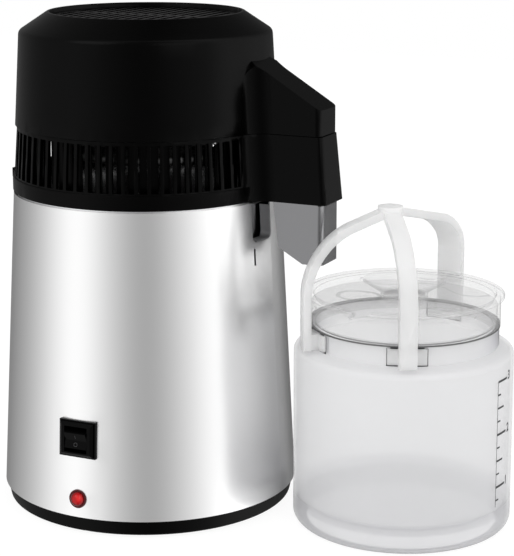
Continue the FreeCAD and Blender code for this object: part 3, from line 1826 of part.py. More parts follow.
def make_top_grille():
    """A disc with parallel slots that run front to back, split by a spine."""
    bottom = recess_floor
    disc = cylinder("grille_disc", s.recess_radius - s.grille_clearance, s.grille_thickness, (0, 0, bottom))
    field = cylinder("grille_field", s.grille_slot_radius, s.grille_thickness, (0, 0, bottom))
    count = int(s.grille_slot_count)
    reach = s.grille_slot_radius + s.grille_slot_width
    top = bottom + s.grille_thickness
    bars = []
    for number in range(count):
        left = s.grille_slot_pitch * (number - (count - 1) / 2) - s.grille_slot_width / 2
        right = left + s.grille_slot_width
        for side, sign in (("front", -1), ("back", 1)):
            near, far = s.grille_spine_width / 2 * sign, reach * sign
            low, high = (far, near) if sign < 0 else (near, far)
            bars.append(box(f"grille_slot_{side}_{number}", (left, low, bottom), (right, high, top)))
    slots = common("grille_slots", group("grille_bars", bars), field)
    return cut("top_grille", disc, [slots])


# ---------------------------------------------------------------- condenser


def coil_path():
    """The coil's centreline: up from the port, outwards in growing half turns, and down into the nozzle."""
    level = float(s.coil_height)
    bend = float(s.coil_bend_radius)
    exit_bend = float(s.coil_exit_bend_radius)
    end_x = float(s.nozzle_x)
    low = level - bend
    edges = []

    def run(start, end):
        edges.append(Part.LineSegment(Vector(*start), Vector(*end)).toShape())
        return end

    def turn(start, middle, end):
        edges.append(Part.Arc(Vector(*start), Vector(*middle), Vector(*end)).toShape())
        return end

    diagonal = bend * math.sqrt(0.5)
    here = run((0, 0, float(port_bottom)), (0, 0, low))
    here = turn(here, (0, diagonal - bend, low + diagonal), (0, -bend, level))
    here = run(here, (0, -exit_bend, level))
    radius = float(s.coil_first_radius)
    side = 1
    for _ in range(coil_turns * 2 + 1):
        middle = (here[0] + radius * side, -exit_bend - radius * side, level)
        here = turn(here, middle, (here[0] + radius * 2 * side, -exit_bend, level))
        radius += float(s.coil_pitch) / 2
        side = -side
    diagonal = exit_bend * math.sqrt(0.5)
    middle = (here[0] + exit_bend - diagonal, diagonal - exit_bend, level)
    here = turn(here, middle, (here[0] + exit_bend, 0, level))
    here = run(here, (end_x - bend, 0, level))
    diagonal = bend * math.sqrt(0.5)
    here = turn(here, (end_x - bend + diagonal, 0, low + diagonal), (end_x, 0, low))
    run(here, (end_x, 0, float(s.shell_bottom - s.coil_end_in_nozzle)))
    return Part.Wire(edges)


def make_condenser_coil():
    """A steel tube along the coil's path."""
    path = coil_path()
    start = Vector(0, 0, float(port_bottom))
    tubes = []
    for radius in (s.coil_tube_radius, s.coil_tube_radius - s.coil_tube_wall):
        section = Part.Wire(Part.makeCircle(float(radius), start, Vector(0, 0, 1)))
        tubes.append(path.makePipeShell([section], True, False))
    made = doc.addObject("Part::Feature", "condenser_coil")
    made.Shape = tubes[0].cut(tubes[1])
    outer, inner = float(s.coil_tube_radius), float(s.coil_tube_radius - s.coil_tube_wall)
    expected = math.pi * (outer**2 - inner**2) * path.Length
    print(f"condenser_coil volume {made.Shape.Volume:.0f}, section times length {expected:.0f}")
    return made


def make_outlet_nozzle():
    """The nozzle in the nose's floor, round the end of the coil."""
    seat = nose_floor_top
    flange_top = seat + s.nozzle_flange_thickness
    socket = s.coil_tube_radius + s.screw_clearance
    socket_bottom = s.shell_bottom - s.coil_end_in_nozzle
    tip_top = s.nozzle_bottom + s.nozzle_tip_length
    piece = Piece("outlet_nozzle")
    piece.turned(
        [
            (s.nozzle_bore_radius, s.nozzle_bottom),
            (s.nozzle_tip_radius, s.nozzle_bottom),
            (s.nozzle_radius, tip_top),
            (s.nozzle_radius, shroud_plate_bottom - s.nozzle_relief_height),
            (s.nozzle_relief_radius, shroud_plate_bottom - s.nozzle_relief_height),
            (s.nozzle_relief_radius, shroud_plate_bottom),
            (s.nozzle_collar_radius, shroud_plate_bottom),
            (s.nozzle_collar_radius, seat),
            (s.nozzle_flange_radius, seat),
            (s.nozzle_flange_radius, flange_top),
            (socket, flange_top),
            (socket, socket_bottom),
            (s.nozzle_bore_radius, socket_bottom),
        ]
    )
    return place(piece.body, (s.nozzle_x, 0, 0))


# ---------------------------------------------------------------- fan


motor_bottom = s.seam_height + s.bracket_plate
motor_top = motor_bottom + s.motor_height
fan_bottom = motor_top + s.fan_clearance


def make_motor_bracket():
    """A ring on the shell's top ledge, with three arms and a plate for the motor."""
    bottom = s.seam_height
    ring = cut(
        "bracket_ring",
        cylinder("bracket_ring_disc", s.bracket_ring_outer_radius, s.bracket_plate, (0, 0, bottom)),
        [cylinder("bracket_ring_bore", s.bracket_ring_inner_radius, s.bracket_plate, (0, 0, bottom))],
    )
    hub = cylinder("bracket_hub", s.bracket_hub_radius, s.bracket_plate, (0, 0, bottom))
    middle = (s.bracket_ring_inner_radius + s.bracket_ring_outer_radius) / 2
    arms = []
    for number, angle in enumerate(spread(3, 30), start=1):
        half = s.bracket_arm_width / 2
        radians = math.radians(angle)
        corner = (half * math.sin(radians), half * -math.cos(radians), bottom)
        arms.append(
            solid(
                "Box",
                f"bracket_arm_{number}",
                corner,
                Rotation(Vector(0, 0, 1), angle),
                Length=middle,
                Width=s.bracket_arm_width,
                Height=s.bracket_plate,
            )
        )
    hole = s.head_screw_radius + s.screw_clearance
    holes = [
        cylinder(f"bracket_screw_hole_{number}", hole, s.bracket_plate, (x, y, bottom))
        for number, (x, y) in enumerate(fan_bracket_screw_places(), start=1)
    ]
    return cut("motor_bracket", fuse("bracket_solid", [ring, hub] + arms), holes)


def make_bracket_screws():
    return screws(
        "bracket_screws",
        fan_bracket_screw_places(),
        motor_bottom,
        s.head_screw_radius,
        s.bracket_plate + s.shell_wall,
        s.head_screw_head_radius,
        s.head_screw_head_height,
        up=False,
    )


def make_fan_motor():
    can = cylinder("motor_can", s.motor_radius, s.motor_height, (0, 0, motor_bottom))
    bore = cylinder(
        "motor_bore",
        s.shaft_radius + s.running_clearance,
        s.shaft_in_motor,
        (0, 0, motor_top - s.shaft_in_motor),
    )
    return cut("fan_motor", can, [bore])


def make_fan_rotor():
    """Pitched blades on a hub, whose shaft runs in the motor."""
    hub = cylinder("fan_hub", s.fan_hub_radius, s.fan_hub_height, (0, 0, fan_bottom))
    tail = s.shaft_in_motor - s.fan_clearance / 2
    shaft = cylinder("fan_shaft", s.shaft_radius, tail + s.fan_clearance, (0, 0, motor_top - tail))
    pitch = Rotation(Vector(1, 0, 0), s.fan_blade_pitch)
    middle = fan_bottom + s.fan_hub_height / 2
    blades = []
    for number, angle in enumerate(spread(s.fan_blade_count), start=1):
        turn = Rotation(Vector(0, 0, 1), angle).multiply(pitch)
        corner = turn.multVec(Vector(0, -float(s.fan_blade_chord) / 2, -float(s.fan_blade_sheet) / 2))
        blades.append(
            solid(
                "Box",
                f"fan_blade_{number}",
                (corner.x, corner.y, middle + corner.z),
                turn,
                Length=s.fan_radius,
                Width=s.fan_blade_chord,
                Height=s.fan_blade_sheet,
            )
        )
    sweep = cylinder("fan_sweep", s.fan_radius, s.fan_hub_height, (0, 0, fan_bottom))
    trimmed = common("fan_blades", fuse("fan_blade_set", blades), sweep)
    return fuse("fan_rotor", [hub, shaft, trimmed])


# ---------------------------------------------------------------- jug


def on_jug(thing):
    """Puts a thing made about its own Z axis on the jug's axis. Its local -Y is the pouring side."""
    return place(thing, (s.jug_x, s.jug_y, 0), Rotation(Vector(0, 0, 1), float(s.jug_turn)))


def leg_angles():
    """The local angles of the two pouring-side legs and the grip."""
    return (-90 - float(s.leg_angle), -90 + float(s.leg_angle), float(s.grip_angle))


def make_jug_body():
    inner = s.jug_radius - s.jug_wall
    collar_inner = s.collar_radius - s.jug_wall
    wall = s.jug_wall
    heel_inner = s.jug_heel_radius - wall
    piece = Piece("jug_vessel")
    piece.turned(
        [
            (s.jug_foot_inner_radius, 0),
            (s.jug_radius, 0, s.jug_heel_radius),
            (s.jug_radius, s.jug_shoulder_height, s.jug_shoulder_round),
            (s.collar_radius, s.collar_bottom),
            (s.collar_radius, collar_top),
            (collar_inner, collar_top),
            (collar_inner, s.collar_bottom - wall * 0.8),
            (inner, s.jug_shoulder_height - wall * 0.8, s.jug_shoulder_round - wall),
            (inner, jug_floor_top, s.jug_floor_round),
            (0, jug_floor_top),
            (0, s.jug_floor),
            (inner, s.jug_floor),
            (inner, wall, heel_inner),
            (s.jug_foot_inner_radius, wall),
        ]
    )
    windows = []
    half = s.window_width / 2
    depth = s.collar_radius + wall
    start = collar_inner - wall
    bottom, top = s.collar_bottom + s.window_margin, collar_top - s.window_margin
    for number, angle in enumerate(leg_angles(), start=1):
        windows.append(radial_box(f"window_{number}", angle, start, depth, half, bottom, top))
    return on_jug(cut("jug_body", piece.body, windows))


def radial_box(name, angle, start, end, half_width, bottom, top):
    """A box that points outwards at an angle about Z."""
    radians = math.radians(angle)
    x = start * math.cos(radians) + half_width * math.sin(radians)
    y = start * math.sin(radians) - half_width * math.cos(radians)
    return solid(
        "Box",
        name,
        (x, y, bottom),
        Rotation(Vector(0, 0, 1), angle),
        Length=end - start,
        Width=half_width * 2,
        Height=top - bottom,
    )


def make_jug_lid():
    """A clear lid: a tall skirt on the collar, a plug inside it, a dished top and a pouring notch."""
    collar_inner = s.collar_radius - s.jug_wall
    plug = collar_inner - s.lid_plug_clearance
    plug_inner = plug - s.lid_wall * 0.8
    skirt_inner = s.lid_skirt_radius - s.lid_wall
    dish_bottom = lid_dish - s.lid_wall
    rim_bottom = lid_top - s.lid_rim_thickness
    step = collar_top + s.lid_wall
    piece = Piece("lid_cap")
    piece.turned(
        [
            (plug_inner, collar_top - s.lid_plug_depth),
            (plug, collar_top - s.lid_plug_depth),
            (plug, collar_top),
            (s.lid_skirt_radius, collar_top),
            (s.lid_skirt_radius, rim_bottom),
            (s.lid_rim_radius, rim_bottom, s.lid_rim_thickness * 0.3),
            (s.lid_rim_radius, lid_top, s.lid_rim_thickness * 0.3),
            (s.lid_dish_radius + s.lid_wall, lid_top, s.lid_wall * 0.5),
            (s.lid_dish_radius, lid_dish, s.lid_wall * 0.5),
            (s.lid_hole_radius, lid_dish),
            (s.lid_hole_radius, dish_bottom),
            (skirt_inner, dish_bottom),
            (skirt_inner, step),
            (plug_inner, step),
        ]
    )
    start = s.lid_dish_radius * 0.85
    spout = cylinder(
        "lid_spout_tool",
        s.lid_spout_radius,
        s.lid_rim_radius,
        (0, -start - s.lid_rim_radius, lid_dish + s.lid_spout_radius),
        ALONG_Y,
    )
    return on_jug(cut("jug_lid", piece.body, [spout]))


def make_lid_funnel():
    """The flared cup on the lid, which catches the drops and is the lid's grip."""
    neck_top = lid_dish + s.cup_neck_height
    top = lid_dish + s.cup_height
    inner_neck = s.cup_neck_radius - s.cup_wall
    piece = Piece("lid_funnel")
    piece.turned(
        [
            (inner_neck, lid_dish),
            (s.cup_neck_radius, lid_dish),
            (s.cup_neck_radius, neck_top, s.cup_wall),
            (s.cup_rim_radius, top, s.cup_wall * 0.2),
            (s.cup_rim_radius - s.cup_wall, top),
            (inner_neck, neck_top),
            (s.cup_hole_radius, neck_top),
            (s.cup_hole_radius, neck_top - s.cup_wall),
            (inner_neck, neck_top - s.cup_wall),
        ]
    )
    return on_jug(piece.body)


def strap_outline(reach, bottom, corner_height, bend_share, bend_rise, lower_round, upper_round):
    """A strap from the side: up from a foot, over two bends and in to the hub at u = 0."""
    top = s.handle_top
    thickness = s.leg_thickness
    bend_run = reach * bend_share
    corners = [
        (reach, bottom),
        (reach, corner_height),
        (reach - bend_run, corner_height + bend_rise),
        (Size(0.0, "0"), top),
    ]
    flat = [Vector(float(u), float(z), 0) for u, z in corners]
    inner = []
    for i in (1, 2):
        back, ahead = (flat[i - 1] - flat[i]).normalize(), (flat[i + 1] - flat[i]).normalize()
        half = back.getAngle(ahead) / 2
        inwards = (back + ahead).normalize() * (1 / math.sin(half))
        inner.append((corners[i][0] + thickness * inwards.x, corners[i][1] + thickness * inwards.y))
    last = flat[3] - flat[2]
    drop = thickness * (last.Length / abs(last.x))
    return [
        (reach - thickness, bottom),
        (reach, bottom),
        (reach, corner_height, lower_round),
        (*corners[2], upper_round),
        (Size(0.0, "0"), top),
        (Size(0.0, "0"), top - drop),
        (*inner[1], upper_round - thickness),
        (*inner[0], lower_round - thickness),
    ]


def make_jug_handle():
    """Three straps that rise from clips in the collar and meet in a hub above the lid."""
    bottom = s.collar_bottom + s.leg_bottom_clearance
    middle = s.leg_inner_radius + s.leg_thickness / 2
    legs = (s.leg_corner_height, s.leg_bend_share, s.leg_bend_rise, s.leg_lower_round, s.leg_upper_round)
    grip = (s.grip_corner_height, s.grip_bend_share, s.grip_bend_rise, s.grip_lower_round, s.grip_upper_round)
    parts = []
    for number, angle in enumerate(leg_angles(), start=1):
        is_grip = number == 3
        width = s.grip_width if is_grip else s.leg_width
        x, y, _ = polar(middle, angle)
        run = root(square(x) + square(y + s.hub_offset))
        heading = math.degrees(math.atan2(y + s.hub_offset, x))
        strap = Piece(f"handle_strap_{number}")
        outline = strap_outline(run + s.leg_thickness / 2, bottom, *(grip if is_grip else legs))
        strap.across(outline, width)
        place(strap.body, (0, -s.hub_offset, 0), Rotation(Vector(0, 0, 1), heading))
        parts.append(strap.body)
        parts += make_clip(number, angle)
    hub_height = s.leg_thickness + s.clip_thickness / 2
    hub = cylinder("handle_hub", s.hub_radius, hub_height, (0, -s.hub_offset, s.handle_top - hub_height))
    return on_jug(fuse("jug_handle", parts + [hub]))


def make_clip(number, angle):
    """The plate that fills a window of the collar, and its neck to the leg."""
    gap = s.clip_clearance
    inner = s.collar_radius - s.jug_wall + gap
    bottom = s.collar_bottom + s.window_margin + gap
    top = collar_top - s.window_margin - gap
    plate = radial_box(
        f"clip_plate_{number}",
        angle,
        inner,
        inner + s.clip_thickness,
        s.window_width / 2 - gap,
        bottom,
        top,
    )
    neck = radial_box(
        f"clip_neck_{number}",
        angle,
        inner + s.clip_thickness / 2,
        s.leg_inner_radius + s.leg_thickness / 2,
        s.clip_neck_width / 2,
        bottom,
        top,
    )
    return [plate, neck]


# ---------------------------------------------------------------- all the sub-parts

PARTS = [
    make_rubber_feet(),
    make_base_cover(),
    make_base_screws(),
    make_housing_brackets(),
    make_outer_housing(),
    make_spout_shroud(),
    make_boiling_pot(),
    make_heater_plate(),
    make_heater_element(),
    make_centre_stud(),
    make_stud_nut(),
    make_heat_shield(),
    make_thermostat("control_thermostat", -1),
    make_thermostat("safety_thermostat", 1),
    make_switch_body(),
    make_rocker(),
    make_reset_bush(),
    make_reset_button(),
    make_reset_spring(),
    make_reset_breaker(),
    make_power_inlet(),
    make_inlet_pins(),
    make_inlet_screws(),
    make_pot_gasket(),
    make_condenser_pan(),
    make_pan_screws(),
    make_head_shell(),
    make_finger_guard(),
    make_shroud_screws(),
    make_fan_socket(),
    make_fan_socket_pins(),
    make_head_cover(),
    make_head_screws(),
    make_top_grille(),
    make_condenser_coil(),
    make_outlet_nozzle(),
    make_motor_bracket(),
    make_bracket_screws(),
    make_fan_motor(),
    make_fan_rotor(),
    make_jug_body(),
    make_jug_lid(),
    make_lid_funnel(),
    make_jug_handle(),
]


def check_document():
    """Stops if any object failed, or a sub-part has no valid shape."""
    failed = [t.Name for t in doc.Objects if "Invalid" in t.State or "Error" in t.State]
    if failed:
        raise RuntimeError(f"features failed: {failed}")
    shapes = [(part.Label, part.Shape) for part in PARTS]
    bad = [n for n, shape in shapes if shape.isNull() or not shape.isValid() or not shape.Solids]
    if bad:
        raise RuntimeError(f"sub-parts without a valid solid: {bad}")


def write_parts():
    os.makedirs("parts", exist_ok=True)
    for part in PARTS:
        part.Shape.exportStep(f"parts/{part.Label}.step")
        print(f"{part.Label}: {len(part.Shape.Solids)} solids, {part.Shape.Volume / 1000:.1f} cm3")


doc.recompute()
check_document()
write_parts()
pivot = [float(value) for value in rocker_pivot()]
print("rocker pivot", pivot, "housing lean", housing_lean())
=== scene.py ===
"""Looks of the water distiller: camera, studio, materials and the detail that the frame leaves out."""

import json
import math

import bmesh
import bpy
from mathutils import Matrix, Vector


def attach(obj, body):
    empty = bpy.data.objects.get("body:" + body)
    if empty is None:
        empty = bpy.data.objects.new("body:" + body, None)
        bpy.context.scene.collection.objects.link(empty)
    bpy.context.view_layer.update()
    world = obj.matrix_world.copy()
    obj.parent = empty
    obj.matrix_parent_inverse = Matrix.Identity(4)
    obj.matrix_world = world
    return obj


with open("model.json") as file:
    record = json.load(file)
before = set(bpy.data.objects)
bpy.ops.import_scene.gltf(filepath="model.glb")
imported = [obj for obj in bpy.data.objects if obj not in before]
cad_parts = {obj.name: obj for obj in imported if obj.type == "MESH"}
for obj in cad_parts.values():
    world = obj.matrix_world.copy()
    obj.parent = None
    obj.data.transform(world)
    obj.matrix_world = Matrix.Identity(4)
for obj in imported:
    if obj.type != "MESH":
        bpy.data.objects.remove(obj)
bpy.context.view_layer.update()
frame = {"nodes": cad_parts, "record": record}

# Lengths and places are in metres.

# ---------------------------------------------------------------- camera and studio

CAMERA_LENS = 115.65
CAMERA_SENSOR = 36
CAMERA_SHIFT = -80 / 556
CAMERA_PLACE = (0.6676, -1.2265, 0.5132)
CAMERA_TILT = math.radians(90 - 11.08)
CAMERA_TURN = math.radians(25)
CAMERA_NEAR, CAMERA_FAR = 0.05, 50

STUDIO_AZIMUTH = math.radians(-65.0)
STUDIO_STRENGTH = 2.22
DAYLIGHT_STRENGTH = 0.85
# How bright the studio's wall is round the horizon, by share of the turn; its azimuth is at 0.5.
STUDIO_STOPS = [
    (0.0, 0.065),
    (0.12, 0.14),
    (0.2, 0.25),
    (0.25, 0.37),
    (0.305, 0.54),
    (0.345, 0.6),
    (0.4, 0.43),
    (0.49, 0.2),
    (0.56, 0.295),
    (0.62, 0.475),
    (0.67, 0.66),
    (0.71, 1.0),
    (0.76, 0.78),
    (0.84, 0.32),
    (0.9, 0.11),
    (1.0, 0.03),
]

FLOOR_SIZE = 6.0
FLOOR_PLACE = (0.1, 0, -0.0002)
FLOOR_COLOUR = (0.9, 0.9, 0.9, 1)
FLOOR_GLOW = 1.07
FLOOR_GLOW_SHARE = 0.86

LAMPS = {
    "key": {"place": (-0.6, -1.4, 1.5), "target": (0, 0, 0.2), "size": (1.2, 1.2), "power": 6},
    "fill": {"place": (1.6, -0.9, 1.2), "target": (0.15, 0, 0.15), "size": (1.2, 1.4), "power": 5},
}

# ---------------------------------------------------------------- the jug and its lid

JUG = Vector((0.2093, 0.0227, 0))
JUG_RADIUS = 0.0843
JUG_FLOOR_HEIGHT = 0.0235
JUG_FLOOR_RADIUS = 0.0805
# Painted shade: how grey the raised floor and the heel are painted, for the shade inside the foot.
JUG_FLOOR_SHADE = 0.5
JUG_HEEL_SHADE = 0.225
# How opaque the jug's painted shade makes it, and the shade's colours; the darkest stands for the shade at
# the collar's outline and its windows' edges.
JUG_SHADE_ALPHA = 0.95
JUG_SHADE_COLOURS = [(JUG_FLOOR_SHADE, (0.66, 0.66, 0.69)), (1.0, (0.1, 0.1, 0.11))]
COLLAR_RADIUS = 0.0727
COLLAR_MIDDLE = 0.14975
COLLAR_HALF_HEIGHT = 0.00695
# How quickly the collar's painted shade grows towards its outline.
COLLAR_FALL = 2.0
# A collar face that turns outwards by less than this is the edge of a window, painted dark as painted shade.
WINDOW_TURN = 0.35

# Painted shade lines round the lid's skirt and rim: bottom, top and strength.
LID_SHADE_LINES = ((0.1570, 0.1583, 0.9), (0.1788, 0.1794, 0.35))
LID_DISH, LID_DISH_HALF = 0.1748, 0.0010
LID_EDGE_FALL = 12.0
LID_ALPHA, LID_EDGE_ALPHA = 0.19, 0.7
# Colours of the lid's painted shade, from none to full.
LID_SHADE_COLOURS = [(0.0, 0.92), (0.2, 0.82), (0.5, 0.35), (1.0, 0.08)]
WAVE_SCALE = 17
WAVE_MIDDLE, WAVE_HALF = 0.5, 0.014
WAVE_STRENGTH = 0.35

# ---------------------------------------------------------------- the rocker

ROCKER_PIVOT = Vector((0, -0.112365, 0.075198))
ROCKER_LEAN = math.radians(7.0 - 2.92)
ROCKER_VALLEY_DEPTH = 0.0056
ROCKER_END_DEPTH = 0.0074
ROCKER_END_HEIGHT = 0.0061
ROCKER_MARK_SIZE = 0.0046

# ---------------------------------------------------------------- the notch's bent edge

NOTCH_AZIMUTH = math.radians(-6.4)
NOTCH_HALF = 0.0134
NOTCH_TOP = 0.2435
NOTCH_BOTTOM = 0.218
NOTCH_ROUND = 0.0055
HOUSING_TOP = 0.249
HOUSING_TOP_RADIUS = 0.1055
HOUSING_TAPER = 0.051
LIP_DEPTH = 0.0085
LIP_THICKNESS = 0.0007
LIP_INSET = 0.0003
LIP_STEPS = 8

# ---------------------------------------------------------------- the litre scale

SCALE_AZIMUTH = math.radians(-12.9)
SCALE_TOP = 0.1244
SCALE_STEP = 0.0103
SCALE_MARKS = 10
SCALE_LITRES = 3
SCALE_LINE = 0.0006
# A litre mark and the three marks below it.
MARK_LENGTHS = (0.0145, 0.0045, 0.0095, 0.0045)
MARK_HEIGHTS = (0.0018, 0.0013, 0.0015, 0.0013)
MARKS_PER_LITRE = len(MARK_LENGTHS)
NUMERAL_SIZE = 0.0095
NUMERAL_BOLD = 0.0003
NUMERAL_GAP = 0.0022
NUMERAL_RISE = 0.0015
MARK_LIFT = 0.00012

# ---------------------------------------------------------------- painted shadows in the gaps round the handle's clips

# The middles of the three clips. The edges below are measured across from a clip's middle.
CLIP_AZIMUTHS = [math.radians(angle) for angle in (-134.0, -67.5, 83.25)]
# Dark faces painted as the shadow in the gaps at each window's ends and foot and in the pockets beside each
# leg.
WINDOW_EDGE = 0.01495
WINDOW_BOTTOM, WINDOW_TOP = 0.1435, 0.156
END_GAP = 0.0004
FOOT_GAP = 0.001
GAP_NEAR = 0.0068
POCKET_FAR = 0.0125
POCKET_BOTTOM, POCKET_TOP = 0.1556, 0.1569

# ---------------------------------------------------------------- camera


def make_camera():
    data = bpy.data.cameras.new("camera")
    data.lens = CAMERA_LENS
    data.sensor_width = CAMERA_SENSOR
    data.shift_y = CAMERA_SHIFT
    data.clip_start, data.clip_end = CAMERA_NEAR, CAMERA_FAR
    camera = bpy.data.objects.new("camera", data)
    bpy.context.collection.objects.link(camera)
    camera.location = CAMERA_PLACE
    camera.rotation_euler = (CAMERA_TILT, 0, CAMERA_TURN)
    bpy.context.scene.camera = camera


# ---------------------------------------------------------------- studio


class Tree:
    """Small helpers over a node tree."""

    def __init__(self, owner):
        owner.use_nodes = True
        self.nodes, self.links = owner.node_tree.nodes, owner.node_tree.links

    def add(self, kind, inputs=None, **settings):
        node = self.nodes.new(kind)
        for key, value in settings.items():
            setattr(node, key, value)
        for key, value in (inputs or {}).items():
            if isinstance(value, bpy.types.NodeSocket):
                self.links.new(value, node.inputs[key])
            else:
                node.inputs[key].default_value = value
        return node

    def math(self, operation, *values):
        return self.add("ShaderNodeMath", dict(enumerate(values)), operation=operation).outputs[0]

    def ramp(self, factor, stops, interpolation="LINEAR"):
        node = self.add("ShaderNodeValToRGB", {"Fac": factor})
        elements = node.color_ramp.elements
        node.color_ramp.interpolation = interpolation
        while len(elements) < len(stops):
            elements.new(0.5)
        for element, (position, value) in zip(elements, stops):
            element.position = position
            colour = value if isinstance(value, tuple) else (value, value, value)
            element.color = (*colour, 1)
        return node.outputs["Color"]

    def mix(self, share, first, second):
        return self.add("ShaderNodeMixShader", {0: share, 1: first, 2: second}).outputs[0]

    def background(self, colour, strength):
        return self.add("ShaderNodeBackground", {"Color": colour, "Strength": strength}).outputs[0]

    def facing(self):
        """0 where the surface faces the eye, 1 at its outline."""
        return self.add("ShaderNodeLayerWeight", {"Blend": 0.5}).outputs["Facing"]

    def seen(self):
        """1 for what the eye sees, also through clear pieces, and 0 for what only lights or mirrors."""
        path = self.add("ShaderNodeLightPath").outputs
        return self.math("MAXIMUM", path["Is Camera Ray"], path["Is Transmission Ray"])

    def noise(self, scale, detail, stretch=(1, 1, 1)):
        where = self.add("ShaderNodeTexCoord").outputs["Object"]
        stretched = self.add("ShaderNodeMapping", {"Vector": where, "Scale": stretch}).outputs[0]
        inputs = {"Vector": stretched, "Scale": scale, "Detail": detail}
        return self.add("ShaderNodeTexNoise", inputs).outputs["Fac"]


def make_world():
    """White behind everything; metal and gloss see a soft studio with two tall softboxes."""
    world = bpy.data.worlds.new("studio")
    bpy.context.scene.world = world
    tree = Tree(world)
    direction = tree.add("ShaderNodeTexCoord").outputs["Generated"]
    parts = tree.add("ShaderNodeSeparateXYZ", {"Vector": direction}).outputs
    turned = tree.math("SUBTRACT", tree.math("ARCTAN2", parts["Y"], parts["X"]), STUDIO_AZIMUTH)
    share = tree.math("FRACT", tree.math("ADD", tree.math("DIVIDE", turned, math.tau), 1.5))
    studio = tree.ramp(share, STUDIO_STOPS, "CARDINAL")
    glossy = tree.add("ShaderNodeLightPath").outputs["Is Glossy Ray"]
    plain = tree.background((1, 1, 1, 1), DAYLIGHT_STRENGTH)
    white = tree.background((1, 1, 1, 1), 1.0)
    boxes = tree.background(studio, STUDIO_STRENGTH)
    unseen = tree.mix(glossy, plain, boxes)
    tree.links.new(tree.mix(tree.seen(), unseen, white), tree.nodes["World Output"].inputs["Surface"])


def make_floor():
    """A pale floor that keeps a faint shadow of the object."""
    bpy.ops.mesh.primitive_plane_add(size=FLOOR_SIZE, location=FLOOR_PLACE)
    floor = bpy.context.object
    floor.name = "studio_floor"
    surface = bpy.data.materials.new("studio_floor")
    tree = Tree(surface)
    diffuse = tree.add("ShaderNodeBsdfDiffuse", {"Color": FLOOR_COLOUR})
    glow = tree.add("ShaderNodeEmission", {"Color": (1, 1, 1, 1), "Strength": FLOOR_GLOW})
    share = tree.math("MULTIPLY", tree.seen(), FLOOR_GLOW_SHARE)
    mixed = tree.mix(share, diffuse.outputs[0], glow.outputs[0])
    tree.links.new(mixed, tree.nodes["Material Output"].inputs["Surface"])
    floor.data.materials.append(surface)
    floor.visible_glossy = False


def make_lamp(name, place, target, size, power):
    data = bpy.data.lights.new(name, "AREA")
    data.shape = "RECTANGLE"
    data.size, data.size_y = size
    data.energy = power
    lamp = bpy.data.objects.new(name, data)
    bpy.context.collection.objects.link(lamp)
    lamp.location = place
    lamp.rotation_euler = (Vector(target) - Vector(place)).to_track_quat("-Z", "Y").to_euler()


# ---------------------------------------------------------------- materials


def material(name, **values):
    made = bpy.data.materials.new(name)
    tree = Tree(made)
    shader = tree.nodes["Principled BSDF"]
    for key, value in values.items():
        shader.inputs[key.replace("_", " ")].default_value = value
    return made, tree, shader


def bump(tree, shader, height, distance):
    made = tree.add("ShaderNodeBump", {"Height": height, "Distance": distance})
    tree.links.new(made.outputs[0], shader.inputs["Normal"])


def vary_roughness(tree, shader, middle, swings):
    """Roughness about its middle value: each noise swings it by its own amount."""
    value = middle - sum(swing for noise, swing in swings) / 2
    for noise, swing in swings:
        value = tree.math("MULTIPLY_ADD", noise, swing, value)
    tree.links.new(value, shader.inputs["Roughness"])


def steel(name, colour, roughness, grain=0.0):
    """Satin sheet steel with a fine grain drawn round the drum; grain is its depth."""
    made, tree, shader = material(name, Base_Color=(*colour, 1), Metallic=1.0)
    drawn = tree.noise(40, 4, stretch=(1, 1, 60))
    vary_roughness(tree, shader, roughness, [(drawn, 0.05), (tree.noise(9, 2), 0.03)])
    if grain:
        bump(tree, shader, drawn, distance=grain)
    return made


def plastic(name, colour, roughness, grain=0.0, **values):
    """Moulded plastic with slow changes of sheen and a fine skin; grain is the skin's depth."""
    made, tree, shader = material(name, Base_Color=(*colour, 1), **values)
    vary_roughness(tree, shader, roughness, [(tree.noise(14, 3), 0.08)])
    if grain:
        bump(tree, shader, tree.noise(900, 2), distance=grain)
    return made


def frosted(name, colour, roughness, alpha, skin, **values):
    """Milky plastic that lets some of what is behind it through; skin is its bumps' noise scale."""
    made, tree, shader = material(name, Base_Color=(*colour, 1), IOR=1.49, Alpha=alpha, **values)
    vary_roughness(tree, shader, roughness, [(tree.noise(30, 3), 0.1)])
    bump(tree, shader, tree.noise(skin, 2), distance=0.00002)
    return made, tree, shader


def frosted_handle(name, colour, alpha):
    """The handle's thicker plastic, in which light spreads to the faces turned away from it."""
    spread = {"Subsurface_Weight": 1.0, "Subsurface_Radius": (1, 1, 1), "Subsurface_Scale": 0.012}
    return frosted(name, colour, roughness=0.45, alpha=alpha, skin=1200, **spread)[0]


